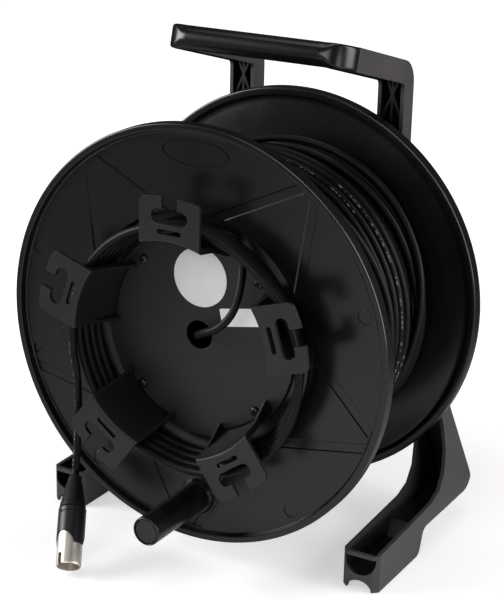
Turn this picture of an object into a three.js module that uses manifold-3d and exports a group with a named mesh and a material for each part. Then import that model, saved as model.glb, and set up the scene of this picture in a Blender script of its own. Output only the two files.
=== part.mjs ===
import * as THREE from 'three';
import { mergeVertices } from 'three/addons/utils/BufferGeometryUtils.js';
import Module from 'manifold-3d';

const wasm = await Module();
wasm.setup();

// Cable drum with a microphone cable. Millimetres, +Z up, the drum's axle runs along Y.
// Pieces are drawn from the axle's centre and the front rim's face, y = 0 there and growing to the rear.

// Clearances
const seatGap = 0.3;
const runGap = 0.1;
const overrun = 6;

// How much of the full rounding a slot's ends have
const roundShare = 0.99;

// Drum and flanges
const axleHeight = 178.5;
const flangeRadius = 160;
const drumDepth = 162.5;
const flangeSkin = 3.5;
const rimRound = 1.6;
const frontRimWidth = 5.5;
const frontRimDepth = 9.5;
const panelRecess = 5;
const rearRimWidth = 6.5;
const rearRimDepth = 11;
const rearDish = 4;
const rearDishInset = 35;
const flangeFacets = 48;

// Zigzag of the front flange
const stripWidth = 7;
const stripDepth = 1.2;
const stripCorner = 4;
const stripLedge = 1.5;
const zigzagBeyondRim = 4;
const zigzagWithinWell = 9;
const zigzagAngle = 53.5;

// Marks in the front flange: oval field and round mould marks
const ovalLength = 56;
const ovalHeight = 20;
const ovalInset = 21;
const ovalLine = 1.4;
const markRadius = 6;
const markInset = 15;
const markDepth = 0.6;
const markAngles = [17.6, 162, 234, 306];

// Well in the front flange
const wellRadius = 95;
const wellWall = 3;
const wellFloor = 15.5;
const wellLedge = 64;

// Barrel, web, hub and bosses of the drum core
const barrelWall = 3;
const webPlace = 100;
const webSkin = 3;
const hubRadius = 20;
const hubFront = 69;
const hubProud = 8.5;
const bossRadius = 6;
const bossPlace = 69.8;
const bossAngle = 44.5;
const bossCount = 4;
const bossDrill = 16;
const coreRibSkin = 3;
const coreRibs = 6;
const coreFacets = 32;
const leadHoleRadius = 5;
const leadHolePlace = 40;

// Axle, bushes and their rings
const axleRadius = 8;
const axleFront = 62;
const axleCollar = 14;
const axleCollarSkin = 3;
const axleThread = 6;
const axleChamfer = 1;
const bushWall = 3;
const bushLength = 15;
const ringWidth = 1.2;
const ringRadius = 11;
const ringGroove = 1;
const washerSkin = 1.5;
const washerRadius = 14;
const nutRadius = 11;
const nutHeight = 6.5;
const axleFacets = 24;
const washerFacets = 16;
const washerGap = 0.3;

// Cable holder in the well
const holderRadius = 80;
const holderSkin = 3;
const holderHole = 11;
const armCount = 5;
const armAngle = 89.3;
const armHalfWidth = 25;
const armFoot = 74;
const armBend = 82.5;
const armReach = 115;
const armFront = -31;
const armSkin = 3;
const armBendRound = 1.2;
const armCorner = 4.5;
const gussetFoot = 65;
const gussetEnd = -24;
const slotPlace = 100.2;
const slotLength = 30;
const slotHeight = 10.8;
const neckWidth = 12.8;
const slitPlace = 89.1;
const slitLength = 20;
const slitHeight = 3.6;

// Screws
const screwRadius = 1.8;
const screwHead = 3.8;
const screwHeadHeight = 2.4;
const screwLength = 16;
const screwFacets = 8;

// Crank knob
const crankPlaceShare = 0.492;
const crankAngle = -88;
const crankBoss = 13;
const crankBossFace = 2;
const crankBolt = 4;
const crankHead = 7;
const crankHeadHeight = 4;
const crankSeat = -51;
const crankNut = 7;
const crankNutHeight = 4;
const knobRadius = 11;
const knobReach = 65;
const knobRim = 1.4;
const knobCapHeight = 3;
const knobBevel = 1;
const knobFacets = 20;

// Cable and its winding
const cordRadius = 3;
const cordSides = 8;
const windingSides = 5;
const coilSides = 6;
const loopSteps = 24;
const layersShare = 0.298;
const windingLoops = 14;
const windingMargin = 4.7;
const windingFront = 15.6;
const windingStart = 150;
const notchAngle = 30;
const notchDepth = 4.4;
const climbSteps = 5;

// Female connector on the outer end of the cable
const socketAngle = 222;
const socketPlace = 24;
const socketRadius = 10.2;
const socketBoot = 25;
const socketBootTop = 4;
const socketBootRadius = 8.6;
const socketLength = 70;
const socketInsertRadius = 8.4;
const socketInsertLength = 14;
const socketPinHole = 1.4;
const socketPinPlace = 4.6;
const latchLength = 14;
const latchWidth = 6;
const latchHeight = 4;
const latchProud = 0.8;
const latchPocket = 5.6;
const socketFacets = 12;

// Tail of the cable, coiled on the holder
const coilStart = 76;
const coilTurns = 4.3;
const coilBack = 6.5;
const coilPitch = 6.8;
const coilRadius = 85.5;
const coilGrowth = 0.9;
const coilSlack = 4;
const coilSlackGrowth = 2.5;
const coilSlackAngle = -22;

// Routes of the plain stretches of cable
const innerLeadRoute = [
  [-97.9, 40, 0],
  [-90, 40, 0],
  [-60, 40, 0],
  [-34, 40, 0.5],
  [-15, 37, 1],
  [-3, 30, 2],
  [2, 24, 2.2],
  [3, 19, 2.2],
  [3, 15.6, 2.2],
  [3, 12.8, 2.2],
];
const tailLeadRoute = [
  [3, 12.5, 2.2],
  [3, 9.5, 2.2],
  [3.5, 5.5, 2.8],
  [9, -3, 6.6],
  [18.2, -8.2, 11.8],
  [28.2, -10.5, 17],
  [36.6, -10.2, 24.6],
  [41.8, -8, 34.2],
  [43.6, -5, 45],
  [43, -0.5, 55.5],
  [40.8, 4, 65],
  [37.6, 6.3, 72.8],
];
const tailDropRoute = [
  [-85.6, -23.2, -34],
  [-85.6, -21.8, -62],
  [-87.2, -21.5, -94],
];

// Male connector on the tail
const plugTop = new THREE.Vector3(-88, -24, -122.5);
const plugTip = new THREE.Vector3(-60.2, -71.8, -170.9);
const plugBoot = 27;
const plugBootTop = 4.6;
const plugBootRadius = 10;
const plugBootNeckShare = 0.72;
const plugRadius = 10.6;
const plugWall = 0.8;
const plugGroovePlace = 4;
const plugGroove = 0.9;
const plugGrooveWidth = 1.6;
const plugTongue = 57;
const plugArch = 47.5;
const shellRadius = 9.5;
const shellWall = 1.2;
const shellBack = 38;
const pinCount = 3;
const pinRadius = 1.2;
const pinPlace = 4.75;
const pinLength = 14;
const insertBack = 41;
const insertFront = 52;
const plugFacets = 16;

// Side frames: post, handle arm, splayed leg and foot
const frameWall = 3;
const postInner = 55.4;
const postOuter = 77.8;
const frameGap = 18.4;
const frameDepth = 17;
const splayStart = 26;
const footInner = 117.8;
const footOuter = 147.4;
const splayEnd = -149.7;
const footFront = 26.5;
const footTop = -148.9;
const footRise = 6;
const footUnder = -158.5;
const footPadRear = 100;
const footPadRound = 7;
const footHeelRound = 14;
const footFloor = -168.5;
const footFloorSkin = 2;
const kneeRound = 60;
const elbowRound = 4;
const shoulderRound = 21;
const footChamfer = 4;
const doorWidth = 25;
const doorTop = -152;
const doorBottom = -166.6;
const archWidth = 20;
const archHeight = 7.5;

// Ribs and bosses inside the side frames
const ribSkin = 2;
const ribRecess = 2.5;
const ribBay = 44;
const ribTop = 180;
const ribBays = 6;
const plateBoss = 6;
const upperBossPlace = 50;
const lowerBossPlace = -50;

// Handle
const handleTilt = 15.1;
const handleThick = 17.9;
const seamPlace = 99.5;
const seamHeight = 199.2;
const gripFront = 77.6;
const gripInnerRound = 0.6;
const gripEdge = 2.2;
const gripSoftEdge = 8;
const gripSoftHalf = 38;
const gripFlatHalf = 48;
const spigotLength = 24;

// Hub plate between the posts
const plateSkin = 5;
const plateHub = 36;
const plateWaist = 25;
const plateArm = 11;
const plateBossRadius = 17;
const plateRibHeight = 8;
const plateRibSkin = 3;

// Unit directions
const right = new THREE.Vector3(1, 0, 0);
const back = new THREE.Vector3(0, 1, 0);
const up = new THREE.Vector3(0, 0, 1);

// Sizes that follow
const rearFace = drumDepth - rearRimDepth;
const barrelRadius = wellRadius + wellWall;
const barrelFront = wellFloor + flangeSkin;
const hubRear = drumDepth + hubProud;
const frameFront = drumDepth + frameGap;
const frameRear = frameFront + frameDepth;
const platePlace = frameFront - plateSkin;
const panelRear = panelRecess + flangeSkin;
const nutEnd = panelRear + crankNutHeight;
const crankPlace = wellRadius + (flangeRadius - wellRadius) * crankPlaceShare;
const layersRadius = barrelRadius + (flangeRadius - barrelRadius) * layersShare;
const windingRear = rearFace - windingMargin;
const holderFace = wellFloor - holderSkin;
const layersInner = (barrelRadius + seatGap) / Math.cos(Math.PI / coreFacets);
const windingRadius = (layersRadius + cordRadius + seatGap) / Math.cos(Math.PI / loopSteps);
const frontFacePlace = (knobReach - frameRear) / 2;

// Materials
function paint(color, roughness, metalness) {
  return new THREE.MeshStandardMaterial({ color, roughness, metalness });
}

const flangePlastic = () => paint(0x1d1d20, 0.35, 0);
const framePlastic = () => paint(0x3a363c, 0.6, 0);
const gripPlastic = () => paint(0x17171a, 0.3, 0);
const corePlastic = () => paint(0x141416, 0.5, 0);
const cordRubber = () => paint(0x18181b, 0.55, 0);
const steel = () => paint(0x9a9a9c, 0.35, 1);
const darkSteel = () => paint(0x2a2a2c, 0.4, 1);
const bronze = () => paint(0x9c7a46, 0.45, 1);
const nickel = () => paint(0xcfc8b8, 0.25, 1);

// Shapes
function radians(degrees) {
  return THREE.MathUtils.degToRad(degrees);
}

function polar(radius, degrees) {
  return [radius * Math.cos(radians(degrees)), radius * Math.sin(radians(degrees))];
}

function smooth(t) {
  return THREE.MathUtils.smoothstep(t, 0, 1);
}

// Outline of corners [x, y, rounding], each rounded by an arc
function outline(corners, arcSteps = 5) {
  const points = [];
  corners.forEach(([x, y, rounding = 0], i) => {
    const corner = new THREE.Vector2(x, y);
    if (rounding === 0) {
      points.push(corner);
      return;
    }
    const [beforeX, beforeY] = corners[(i + corners.length - 1) % corners.length];
    const [afterX, afterY] = corners[(i + 1) % corners.length];
    const before = new THREE.Vector2(beforeX, beforeY).sub(corner);
    const after = new THREE.Vector2(afterX, afterY).sub(corner);
    const halfAngle = Math.acos(before.dot(after) / before.length() / after.length()) / 2;
    const middle = before.clone().normalize().add(after.clone().normalize()).normalize();
    const centre = middle.multiplyScalar(rounding / Math.sin(halfAngle)).add(corner);
    const setback = rounding / Math.tan(halfAngle);
    const start = before.setLength(setback).add(corner).sub(centre);
    const end = after.setLength(setback).add(corner).sub(centre);
    const turn = Math.atan2(start.cross(end), start.dot(end));
    for (let k = 0; k <= arcSteps; k++) {
      points.push(start.clone().rotateAround(new THREE.Vector2(), (turn * k) / arcSteps).add(centre));
    }
  });
  return new THREE.Shape(points);
}

function extrude(shape, depth, curveSegments = 6) {
  return new THREE.ExtrudeGeometry(shape, { depth, bevelEnabled: false, curveSegments });
}

// Shape drawn in X and Z, extruded along Y
function slabY(shape, front, rear, curveSegments) {
  return extrude(shape, rear - front, curveSegments).rotateX(Math.PI / 2).translate(0, rear, 0);
}

// Shape drawn in Y and Z, extruded along X
function slabX(shape, from, to) {
  const turned = new THREE.Matrix4().makeBasis(back, up, right);
  return extrude(shape, to - from).applyMatrix4(turned).translate(from, 0, 0);
}

// Shape drawn in X and Y, extruded along Z
function slabZ(shape, from, to) {
  return extrude(shape, to - from).translate(0, 0, from);
}

function rectangle(width, height, x = 0, z = 0) {
  const [w, h] = [width / 2, height / 2];
  return outline([[x - w, z - h], [x + w, z - h], [x + w, z + h], [x - w, z + h]]);
}

// Slot with round ends, its length along X
function stadium(length, height, z, arcSteps = 3) {
  const [w, h, round] = [length / 2, height / 2, (height / 2) * roundShare];
  const [low, high] = [z - h, z + h];
  return outline([[-w, low, round], [w, low, round], [w, high, round], [-w, high, round]], arcSteps);
}

function disc(radius, segments, x = 0, z = 0) {
  const points = [];
  for (let k = 0; k < segments; k++) {
    const [a, b] = polar(radius, (360 * k) / segments);
    points.push(new THREE.Vector2(x + a, z + b));
  }
  return new THREE.Shape(points);
}

// Closed profile of [radius, y], turned about the Y axis
function revolve(profile, segments = flangeFacets) {
  const points = profile.map(([radius, y]) => new THREE.Vector2(radius, y));
  if (THREE.ShapeUtils.isClockWise(points)) {
    points.reverse();
  }
  const closed = profile[0][0] === 0 ? points : [...points, points[0]];
  return new THREE.LatheGeometry(closed, segments);
}

function ring(inner, outer, front, rear, segments) {
  return revolve([[inner, front], [outer, front], [outer, rear], [inner, rear]], segments);
}

function rod(radius, front, rear, segments, x = 0, z = 0) {
  const shaft = new THREE.CylinderGeometry(radius, radius, rear - front, segments);
  return shaft.translate(x, (front + rear) / 2, z);
}

// Solids
function toSolid(geometry) {
  const bare = geometry.clone();
  bare.deleteAttribute('normal');
  bare.deleteAttribute('uv');
  const merged = mergeVertices(bare);
  const corners = merged.index.array;
  const kept = [];
  for (let i = 0; i < corners.length; i += 3) {
    const [a, b, c] = [corners[i], corners[i + 1], corners[i + 2]];
    if (a !== b && b !== c && c !== a) {
      kept.push(a, b, c);
    }
  }
  const vertProperties = new Float32Array(merged.getAttribute('position').array);
  const triVerts = new Uint32Array(kept);
  return new wasm.Manifold(new wasm.Mesh({ numProp: 3, vertProperties, triVerts }));
}

function toGeometry(solid) {
  const { vertProperties, triVerts } = solid.getMesh();
  const geometry = new THREE.BufferGeometry();
  geometry.setAttribute('position', new THREE.BufferAttribute(vertProperties, 3));
  geometry.setIndex(new THREE.BufferAttribute(triVerts, 1));
  geometry.computeVertexNormals();
  return geometry;
}

function join(first, ...others) {
  return toGeometry(others.reduce((solid, other) => solid.add(toSolid(other)), toSolid(first)));
}

function cut(base, ...tools) {
  return toGeometry(tools.reduce((solid, tool) => solid.subtract(toSolid(tool)), toSolid(base)));
}

function overlap(first, second) {
  return toGeometry(toSolid(first).intersect(toSolid(second)));
}

function piece(name, geometry, material) {
  const mesh = new THREE.Mesh(geometry, material);
  mesh.name = name;
  return mesh;
}

// Closed skin over rings of points, with a flat cap on each end
function loft(rings) {
  const sides = rings[0].length;
  const positions = rings.flat().flatMap((point) => point.toArray());
  const index = [];
  for (let i = 0; i + 1 < rings.length; i++) {
    for (let k = 0; k < sides; k++) {
      const [a, b] = [i * sides + k, i * sides + ((k + 1) % sides)];
      index.push(a, b, b + sides, a, b + sides, a + sides);
    }
  }
  const last = (rings.length - 1) * sides;
  for (let k = 1; k + 1 < sides; k++) {
    index.push(0, k + 1, k, last, last + k, last + k + 1);
  }
  const geometry = new THREE.BufferGeometry();
  geometry.setAttribute('position', new THREE.Float32BufferAttribute(positions, 3));
  geometry.setIndex(index);
  geometry.computeVertexNormals();
  return geometry;
}

// Round tube through points, one ring at each
function sweep(points, radius, sides, firstUp) {
  let side = firstUp.clone();
  return loft(points.map((point, i) => {
    const before = points[Math.max(i - 1, 0)];
    const after = points[Math.min(i + 1, points.length - 1)];
    const along = after.clone().sub(before).normalize();
    side = side.addScaledVector(along, -side.dot(along)).normalize();
    const other = along.clone().cross(side);
    return Array.from({ length: sides }, (_, k) => {
      const [a, b] = polar(radius, (360 * k) / sides);
      return point.clone().addScaledVector(side, a).addScaledVector(other, b);
    });
  }));
}

// Plain tube along a smooth curve through points
function tube(points, steps) {
  const places = points.map((point) => new THREE.Vector3(...point));
  const path = new THREE.CatmullRomCurve3(places, false, 'centripetal');
  const section = disc(cordRadius, cordSides);
  return new THREE.ExtrudeGeometry(section, { steps, extrudePath: path, bevelEnabled: false });
}

// Least gap of a wound tube to itself, between points and middles at least half a turn apart
function leastGap(points, radius) {
  const dense = points.flatMap((point, i) => {
    return i === 0 ? [point] : [points[i - 1].clone().lerp(point, 1 / 2), point];
  });
  let least = Infinity;
  for (let i = 0; i < dense.length; i++) {
    for (let k = i + loopSteps; k < dense.length; k++) {
      least = Math.min(least, dense[i].distanceTo(dense[k]) - 2 * radius);
    }
  }
  return least;
}

// Screw with its head's seat at y = 0 and its shank towards +Y
function screw(name, x, seat, z, facesRear = false) {
  const profile = [
    [0, -screwHeadHeight],
    [screwHead - screwHeadHeight / 2, -screwHeadHeight],
    [screwHead, 0],
    [screwRadius, 0],
    [screwRadius, screwLength],
    [0, screwLength],
  ];
  const mesh = piece(name, revolve(profile, screwFacets), darkSteel());
  mesh.position.set(x, seat, z);
  mesh.rotation.z = facesRear ? Math.PI : 0;
  return mesh;
}

function bossPlaces() {
  return Array.from({ length: bossCount }, (_, k) => {
    return polar(bossPlace, bossAngle + (360 * k) / bossCount);
  });
}

// Front flange: rim, panels with a zigzag between them, well and the knob's boss
function frontFlange() {
  const rimInner = flangeRadius - frontRimWidth;
  const body = revolve([
    [wellLedge, wellFloor],
    [wellRadius, wellFloor],
    [wellRadius, panelRecess],
    [rimInner - rimRound, panelRecess],
    [rimInner, rimRound],
    [rimInner + rimRound, 0],
    [flangeRadius - rimRound, 0],
    [flangeRadius, rimRound],
    [flangeRadius, frontRimDepth],
    [rimInner, frontRimDepth],
    [rimInner - rimRound, panelRear],
    [barrelRadius, panelRear],
    [barrelRadius, barrelFront],
    [wellLedge, barrelFront],
  ]);
  const [knobX, knobZ] = polar(crankPlace, crankAngle);
  const holes = bossPlaces().map(([x, z]) => {
    return rod(screwRadius + seatGap, 0, barrelFront + overrun, screwFacets, x, z);
  });
  const grooved = cut(body, ...zigzagGrooves(), ovalGroove(), ...mouldMarks());
  const boss = rod(crankBoss, crankBossFace, panelRecess + flangeSkin / 2, 24, knobX, knobZ);
  const boltHole = rod(crankBolt + runGap, -overrun, panelRear + overrun, 16, knobX, knobZ);
  return cut(join(grooved, boss), boltHole, ...holes);
}

// Each groove is a V with its tip at the rim, its inner corner rounded, and stops short of the well
function zigzagGrooves() {
  const tip = new THREE.Vector2(0, flangeRadius + zigzagBeyondRim);
  const foot = new THREE.Vector2(...polar(wellRadius - zigzagWithinWell, 90 - 180 / armCount));
  const along = foot.clone().sub(tip).normalize();
  const aside = new THREE.Vector2(-along.y, along.x).multiplyScalar(stripWidth / 2);
  const tipShift = aside.length() / along.x;
  const [outer, inner] = [foot.clone().add(aside), foot.clone().sub(aside)];
  const band = outline([
    [outer.x, outer.y],
    [tip.x, tip.y + tipShift],
    [-outer.x, outer.y],
    [-inner.x, inner.y],
    [tip.x, tip.y - tipShift, stripCorner],
    [inner.x, inner.y],
  ]);
  const floor = panelRecess + stripDepth;
  const panel = ring(wellRadius + stripLedge, flangeRadius - frontRimWidth - rimRound,
    panelRecess - overrun, floor);
  return Array.from({ length: armCount }, (_, k) => {
    const turn = radians(90 - zigzagAngle - (360 * k) / armCount);
    return overlap(slabY(band, panelRecess - overrun, floor).rotateY(turn), panel);
  });
}

function ovalGroove() {
  const oval = new THREE.Shape();
  const place = flangeRadius - ovalInset;
  oval.absellipse(0, place, ovalLength / 2, ovalHeight / 2, 0, 2 * Math.PI);
  const field = new THREE.Path();
  field.absellipse(0, place, ovalLength / 2 - ovalLine, ovalHeight / 2 - ovalLine, 0, 2 * Math.PI);
  oval.holes.push(field);
  return slabY(oval, panelRecess - overrun, panelRecess + markDepth, 12);
}

function mouldMarks() {
  return markAngles.map((angle) => {
    const [x, z] = polar(flangeRadius - markInset, angle);
    return rod(markRadius, panelRecess - overrun, panelRecess + markDepth, 12, x, z);
  });
}

// Rear flange: dished, with a thick rounded rim and a collar round the hub
function rearFlange() {
  const rimInner = flangeRadius - rearRimWidth;
  const bore = hubRadius + seatGap;
  const collar = bore + flangeSkin * 2;
  const dishStart = flangeRadius - rearDishInset;
  const body = revolve([
    [bore, rearFace],
    [dishStart, rearFace],
    [rimInner - rearDish, rearFace + rearDish],
    [rimInner, rearFace + rimRound],
    [rimInner + rimRound, rearFace],
    [flangeRadius - rimRound, rearFace],
    [flangeRadius, rearFace + rimRound],
    [flangeRadius, drumDepth - rimRound],
    [flangeRadius - rimRound, drumDepth],
    [rimInner, drumDepth],
    [rimInner - rearDish, rearFace + rearDish + flangeSkin],
    [dishStart, rearFace + flangeSkin],
    [collar, rearFace + flangeSkin],
    [collar, drumDepth - rimRound],
    [bore, drumDepth - rimRound],
  ]);
  const holeEnd = rearFace + flangeSkin + overrun;
  const holes = bossPlaces().map(([x, z]) => {
    return rod(screwRadius + seatGap, rearFace - overrun, holeEnd, screwFacets, x, z);
  });
  return cut(body, ...holes);
}

// Drum core: barrel, web, hub tube, screw bosses and ribs
function drumCore() {
  const barrel = ring(barrelRadius - barrelWall, barrelRadius, barrelFront, rearFace, coreFacets);
  const weld = barrelWall / 2;
  const web = ring(hubRadius - weld, barrelRadius - weld, webPlace, webPlace + webSkin, coreFacets);
  const bore = axleRadius + runGap + bushWall + runGap;
  const hub = ring(bore, hubRadius, hubFront, hubRear, coreFacets);
  const bosses = bossPlaces().map(([x, z]) => rod(bossRadius, barrelFront, rearFace, 10, x, z));
  const [ribStart, ribEnd] = [hubRadius - weld, barrelRadius - weld];
  const ribs = Array.from({ length: coreRibs }, (_, k) => {
    const plate = rectangle(ribEnd - ribStart, coreRibSkin, (ribStart + ribEnd) / 2);
    return slabY(plate, webPlace + webSkin / 2, rearFace).rotateY(radians((360 * k) / coreRibs));
  });
  const drills = bossPlaces().flatMap(([x, z]) => [
    rod(screwRadius + seatGap, barrelFront - overrun, barrelFront + bossDrill, screwFacets, x, z),
    rod(screwRadius + seatGap, rearFace - bossDrill, rearFace + overrun, screwFacets, x, z),
  ]);
  const leadHole = rod(leadHoleRadius, 0, barrelWall + 2 * overrun, 16).rotateZ(Math.PI / 2);
  leadHole.translate(-barrelRadius + barrelWall + overrun, leadHolePlace, 0);
  return cut(join(barrel, web, hub, ...bosses, ...ribs), ...drills, leadHole);
}

function hexNut(name, across, bore, front, height) {
  const body = rod(across, front, front + height, 6);
  const hole = rod(bore, front - overrun, front + height + overrun, washerFacets);
  return piece(name, cut(body, hole), steel());
}

function bush(front) {
  const bore = axleRadius + runGap;
  return ring(bore, bore + bushWall, front, front + bushLength, axleFacets);
}

// Outline of an arm seen from the front, its middle line along Z
function armOutline(halfWidth) {
  return outline([
    [-halfWidth, armFoot - overrun],
    [halfWidth, armFoot - overrun],
    [halfWidth, armReach, armCorner],
    [-halfWidth, armReach, armCorner],
  ], 4);
}

function armTurn(k) {
  return radians(90 - armAngle - (360 * k) / armCount);
}

// Arm of the cable holder: a curved slanted wall that ends in a plate with a T-slot and a slit
function holderArm(k) {
  const plateRear = armFront + armSkin;
  const wallAndPlate = revolve([
    [armFoot, wellFloor],
    [armBend - armBendRound, armFront + armBendRound],
    [armBend + armBendRound, armFront],
    [armReach, armFront],
    [armReach, plateRear],
    [armBend + armSkin, plateRear],
    [armFoot + armSkin, wellFloor],
  ]);
  const block = slabY(armOutline(armHalfWidth), armFront - overrun, wellFloor).rotateY(armTurn(k));
  const openings = [
    stadium(slotLength, slotHeight, slotPlace, 4),
    rectangle(neckWidth, armReach - slotPlace + overrun, 0, (slotPlace + armReach + overrun) / 2),
    stadium(slitLength, slitHeight, slitPlace, 2),
  ];
  const cutters = openings.map((shape) => {
    return slabY(shape, armFront - overrun, plateRear + overrun).rotateY(armTurn(k));
  });
  const arm = join(cut(overlap(wallAndPlate, block), ...cutters), ...armGussets(k));
  return piece(`cable_arm_${k + 1}`, arm, corePlastic());
}

// How far along the arm's middle line its slanted wall has its own middle, at the wall's sides
function wallMiddle(y) {
  const share = (wellFloor - y) / (wellFloor - armFront);
  const radius = armFoot + armSkin / 2 + (armBend - armFoot) * share;
  return Math.sqrt(radius ** 2 - armHalfWidth ** 2);
}

// Triangular gussets at both sides of an arm, standing on the disc
function armGussets(k) {
  const base = holderFace - seatGap;
  const side = outline([[base, gussetFoot], [base, wallMiddle(base)], [gussetEnd, wallMiddle(gussetEnd)]]);
  return [-armHalfWidth, armHalfWidth - armSkin].map((from) => {
    return slabX(side, from, from + armSkin).rotateY(armTurn(k));
  });
}

// Disc of the cable holder, with the cable's hole and a slot for each arm's foot
function holderDisc() {
  const lean = (armBend - armFoot) * (holderSkin / (wellFloor - armFront));
  const slotRing = ring(armFoot - seatGap, armFoot + armSkin + lean + seatGap,
    holderFace - overrun, wellFloor + overrun);
  const slots = Array.from({ length: armCount }, (_, k) => {
    const block = slabY(armOutline(armHalfWidth + seatGap), holderFace - overrun, wellFloor + overrun);
    return overlap(slotRing, block.rotateY(armTurn(k)));
  });
  const holes = bossPlaces().map(([x, z]) => {
    return rod(screwRadius + seatGap, holderFace - overrun, wellFloor + overrun, screwFacets, x, z);
  });
  return cut(ring(holderHole, holderRadius, holderFace, wellFloor), ...slots, ...holes);
}

// Knob, its bolt, nut and end cap, drawn on the bolt's axis
function crankParts() {
  const [x, z] = polar(crankPlace, crankAngle);
  const headFace = crankSeat - seatGap;
  const capSeat = knobCapHeight - knobReach;
  const boltProfile = [
    [0, headFace - crankHeadHeight],
    [crankHead - seatGap, headFace - crankHeadHeight],
    [crankHead, headFace - crankHeadHeight + seatGap],
    [crankHead, headFace],
    [crankBolt, headFace],
    [crankBolt, nutEnd],
    [0, nutEnd],
  ];
  const knobBase = crankBossFace - seatGap;
  const pocket = knobRadius - knobRim;
  const knobProfile = [
    [crankBolt + runGap, crankSeat],
    [crankHead + seatGap, crankSeat],
    [crankHead + seatGap, capSeat],
    [pocket, capSeat],
    [pocket, -knobReach],
    [knobRadius - seatGap, -knobReach],
    [knobRadius, -knobReach + knobBevel],
    [knobRadius, knobBase - knobBevel],
    [knobRadius - knobBevel, knobBase],
    [crankBolt + runGap, knobBase],
  ];
  const capProfile = [
    [0, -knobReach + seatGap],
    [pocket - knobBevel, -knobReach + seatGap],
    [pocket - seatGap, -knobReach + seatGap + knobBevel],
    [pocket - seatGap, capSeat],
    [0, capSeat],
  ];
  const parts = [
    piece('crank_bolt', revolve(boltProfile, washerFacets), darkSteel()),
    hexNut('crank_nut', crankNut, crankBolt + seatGap, panelRear, crankNutHeight),
    piece('crank_knob', revolve(knobProfile, knobFacets), gripPlastic()),
    piece('knob_cap', revolve(capProfile, knobFacets), gripPlastic()),
  ];
  parts.forEach((part) => part.position.set(x, 0, z));
  return parts;
}

// Inner layers of the stored cable, with a notch where the outer layer climbs out of them
function innerLayers() {
  const body = ring(layersInner, layersRadius, nutEnd + seatGap, rearFace - seatGap, coreFacets);
  const notch = new THREE.Shape();
  const floor = layersRadius - notchDepth;
  const [from, to] = [radians(windingStart), radians(windingStart + notchAngle)];
  notch.absarc(0, 0, floor, from, to, false);
  notch.absarc(0, 0, layersRadius + overrun, to, from, true);
  const half = cordRadius + seatGap;
  return cut(body, slabY(notch, windingRear - half, windingRear + half, 8));
}

// Points of the outer layer, from the notch at the rear to the female connector at the front
function windingPoints() {
  const steps = windingLoops * loopSteps;
  const pitch = (windingRear - windingFront) / steps;
  const startRadius = windingRadius - notchDepth;
  const [startX, startZ] = polar(startRadius, windingStart);
  const wall = new THREE.Vector3(startX, windingRear, startZ);
  const along = new THREE.Vector3(-startZ, 0, startX).normalize();
  const first = wall.clone().addScaledVector(along, seatGap);
  const points = [first, first.clone().addScaledVector(along, 2 * cordRadius)];
  for (let i = 1; i <= steps; i++) {
    const radius = startRadius + notchDepth * smooth(i - 1);
    const [x, z] = polar(radius, windingStart + (360 * i) / loopSteps);
    points.push(new THREE.Vector3(x, windingRear - pitch * (i - 1), z));
  }
  return points;
}

// The layer's end lifts off the other turns and runs on along the connector's straight axis
function windingEnd(points) {
  const last = points[points.length - 1];
  const lastAngle = THREE.MathUtils.radToDeg(Math.atan2(last.z, last.x));
  const frame = socketFrame();
  const leadIn = frame.start.clone().addScaledVector(frame.along, -seatGap);
  const straight = leadIn.clone().addScaledVector(frame.along, -2 * cordRadius);
  const goalRadius = Math.hypot(straight.x, straight.z);
  const goalAngle = THREE.MathUtils.radToDeg(Math.atan2(straight.z, straight.x));
  const sweepAngle = (((goalAngle - lastAngle) % 360) + 360) % 360;
  const rise = [];
  for (let k = 1; k < climbSteps; k++) {
    const share = smooth(k / climbSteps);
    const radius = windingRadius + (goalRadius - windingRadius) * share;
    const [x, z] = polar(radius, lastAngle + (sweepAngle * k) / climbSteps);
    rise.push(new THREE.Vector3(x, last.y + (straight.y - last.y) * share, z));
  }
  return [...points, ...rise, straight, leadIn];
}

// Place and direction of the female connector, laid on the winding
function socketFrame() {
  const reach = windingRadius + cordRadius + seatGap + socketRadius;
  const [x, z] = polar(reach, socketAngle);
  const along = new THREE.Vector3(-z, 0, x).normalize();
  const outward = new THREE.Vector3(x, 0, z).normalize();
  const start = new THREE.Vector3(x, socketPlace, z).addScaledVector(along, -socketLength / 2);
  return { start, along, outward };
}

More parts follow.
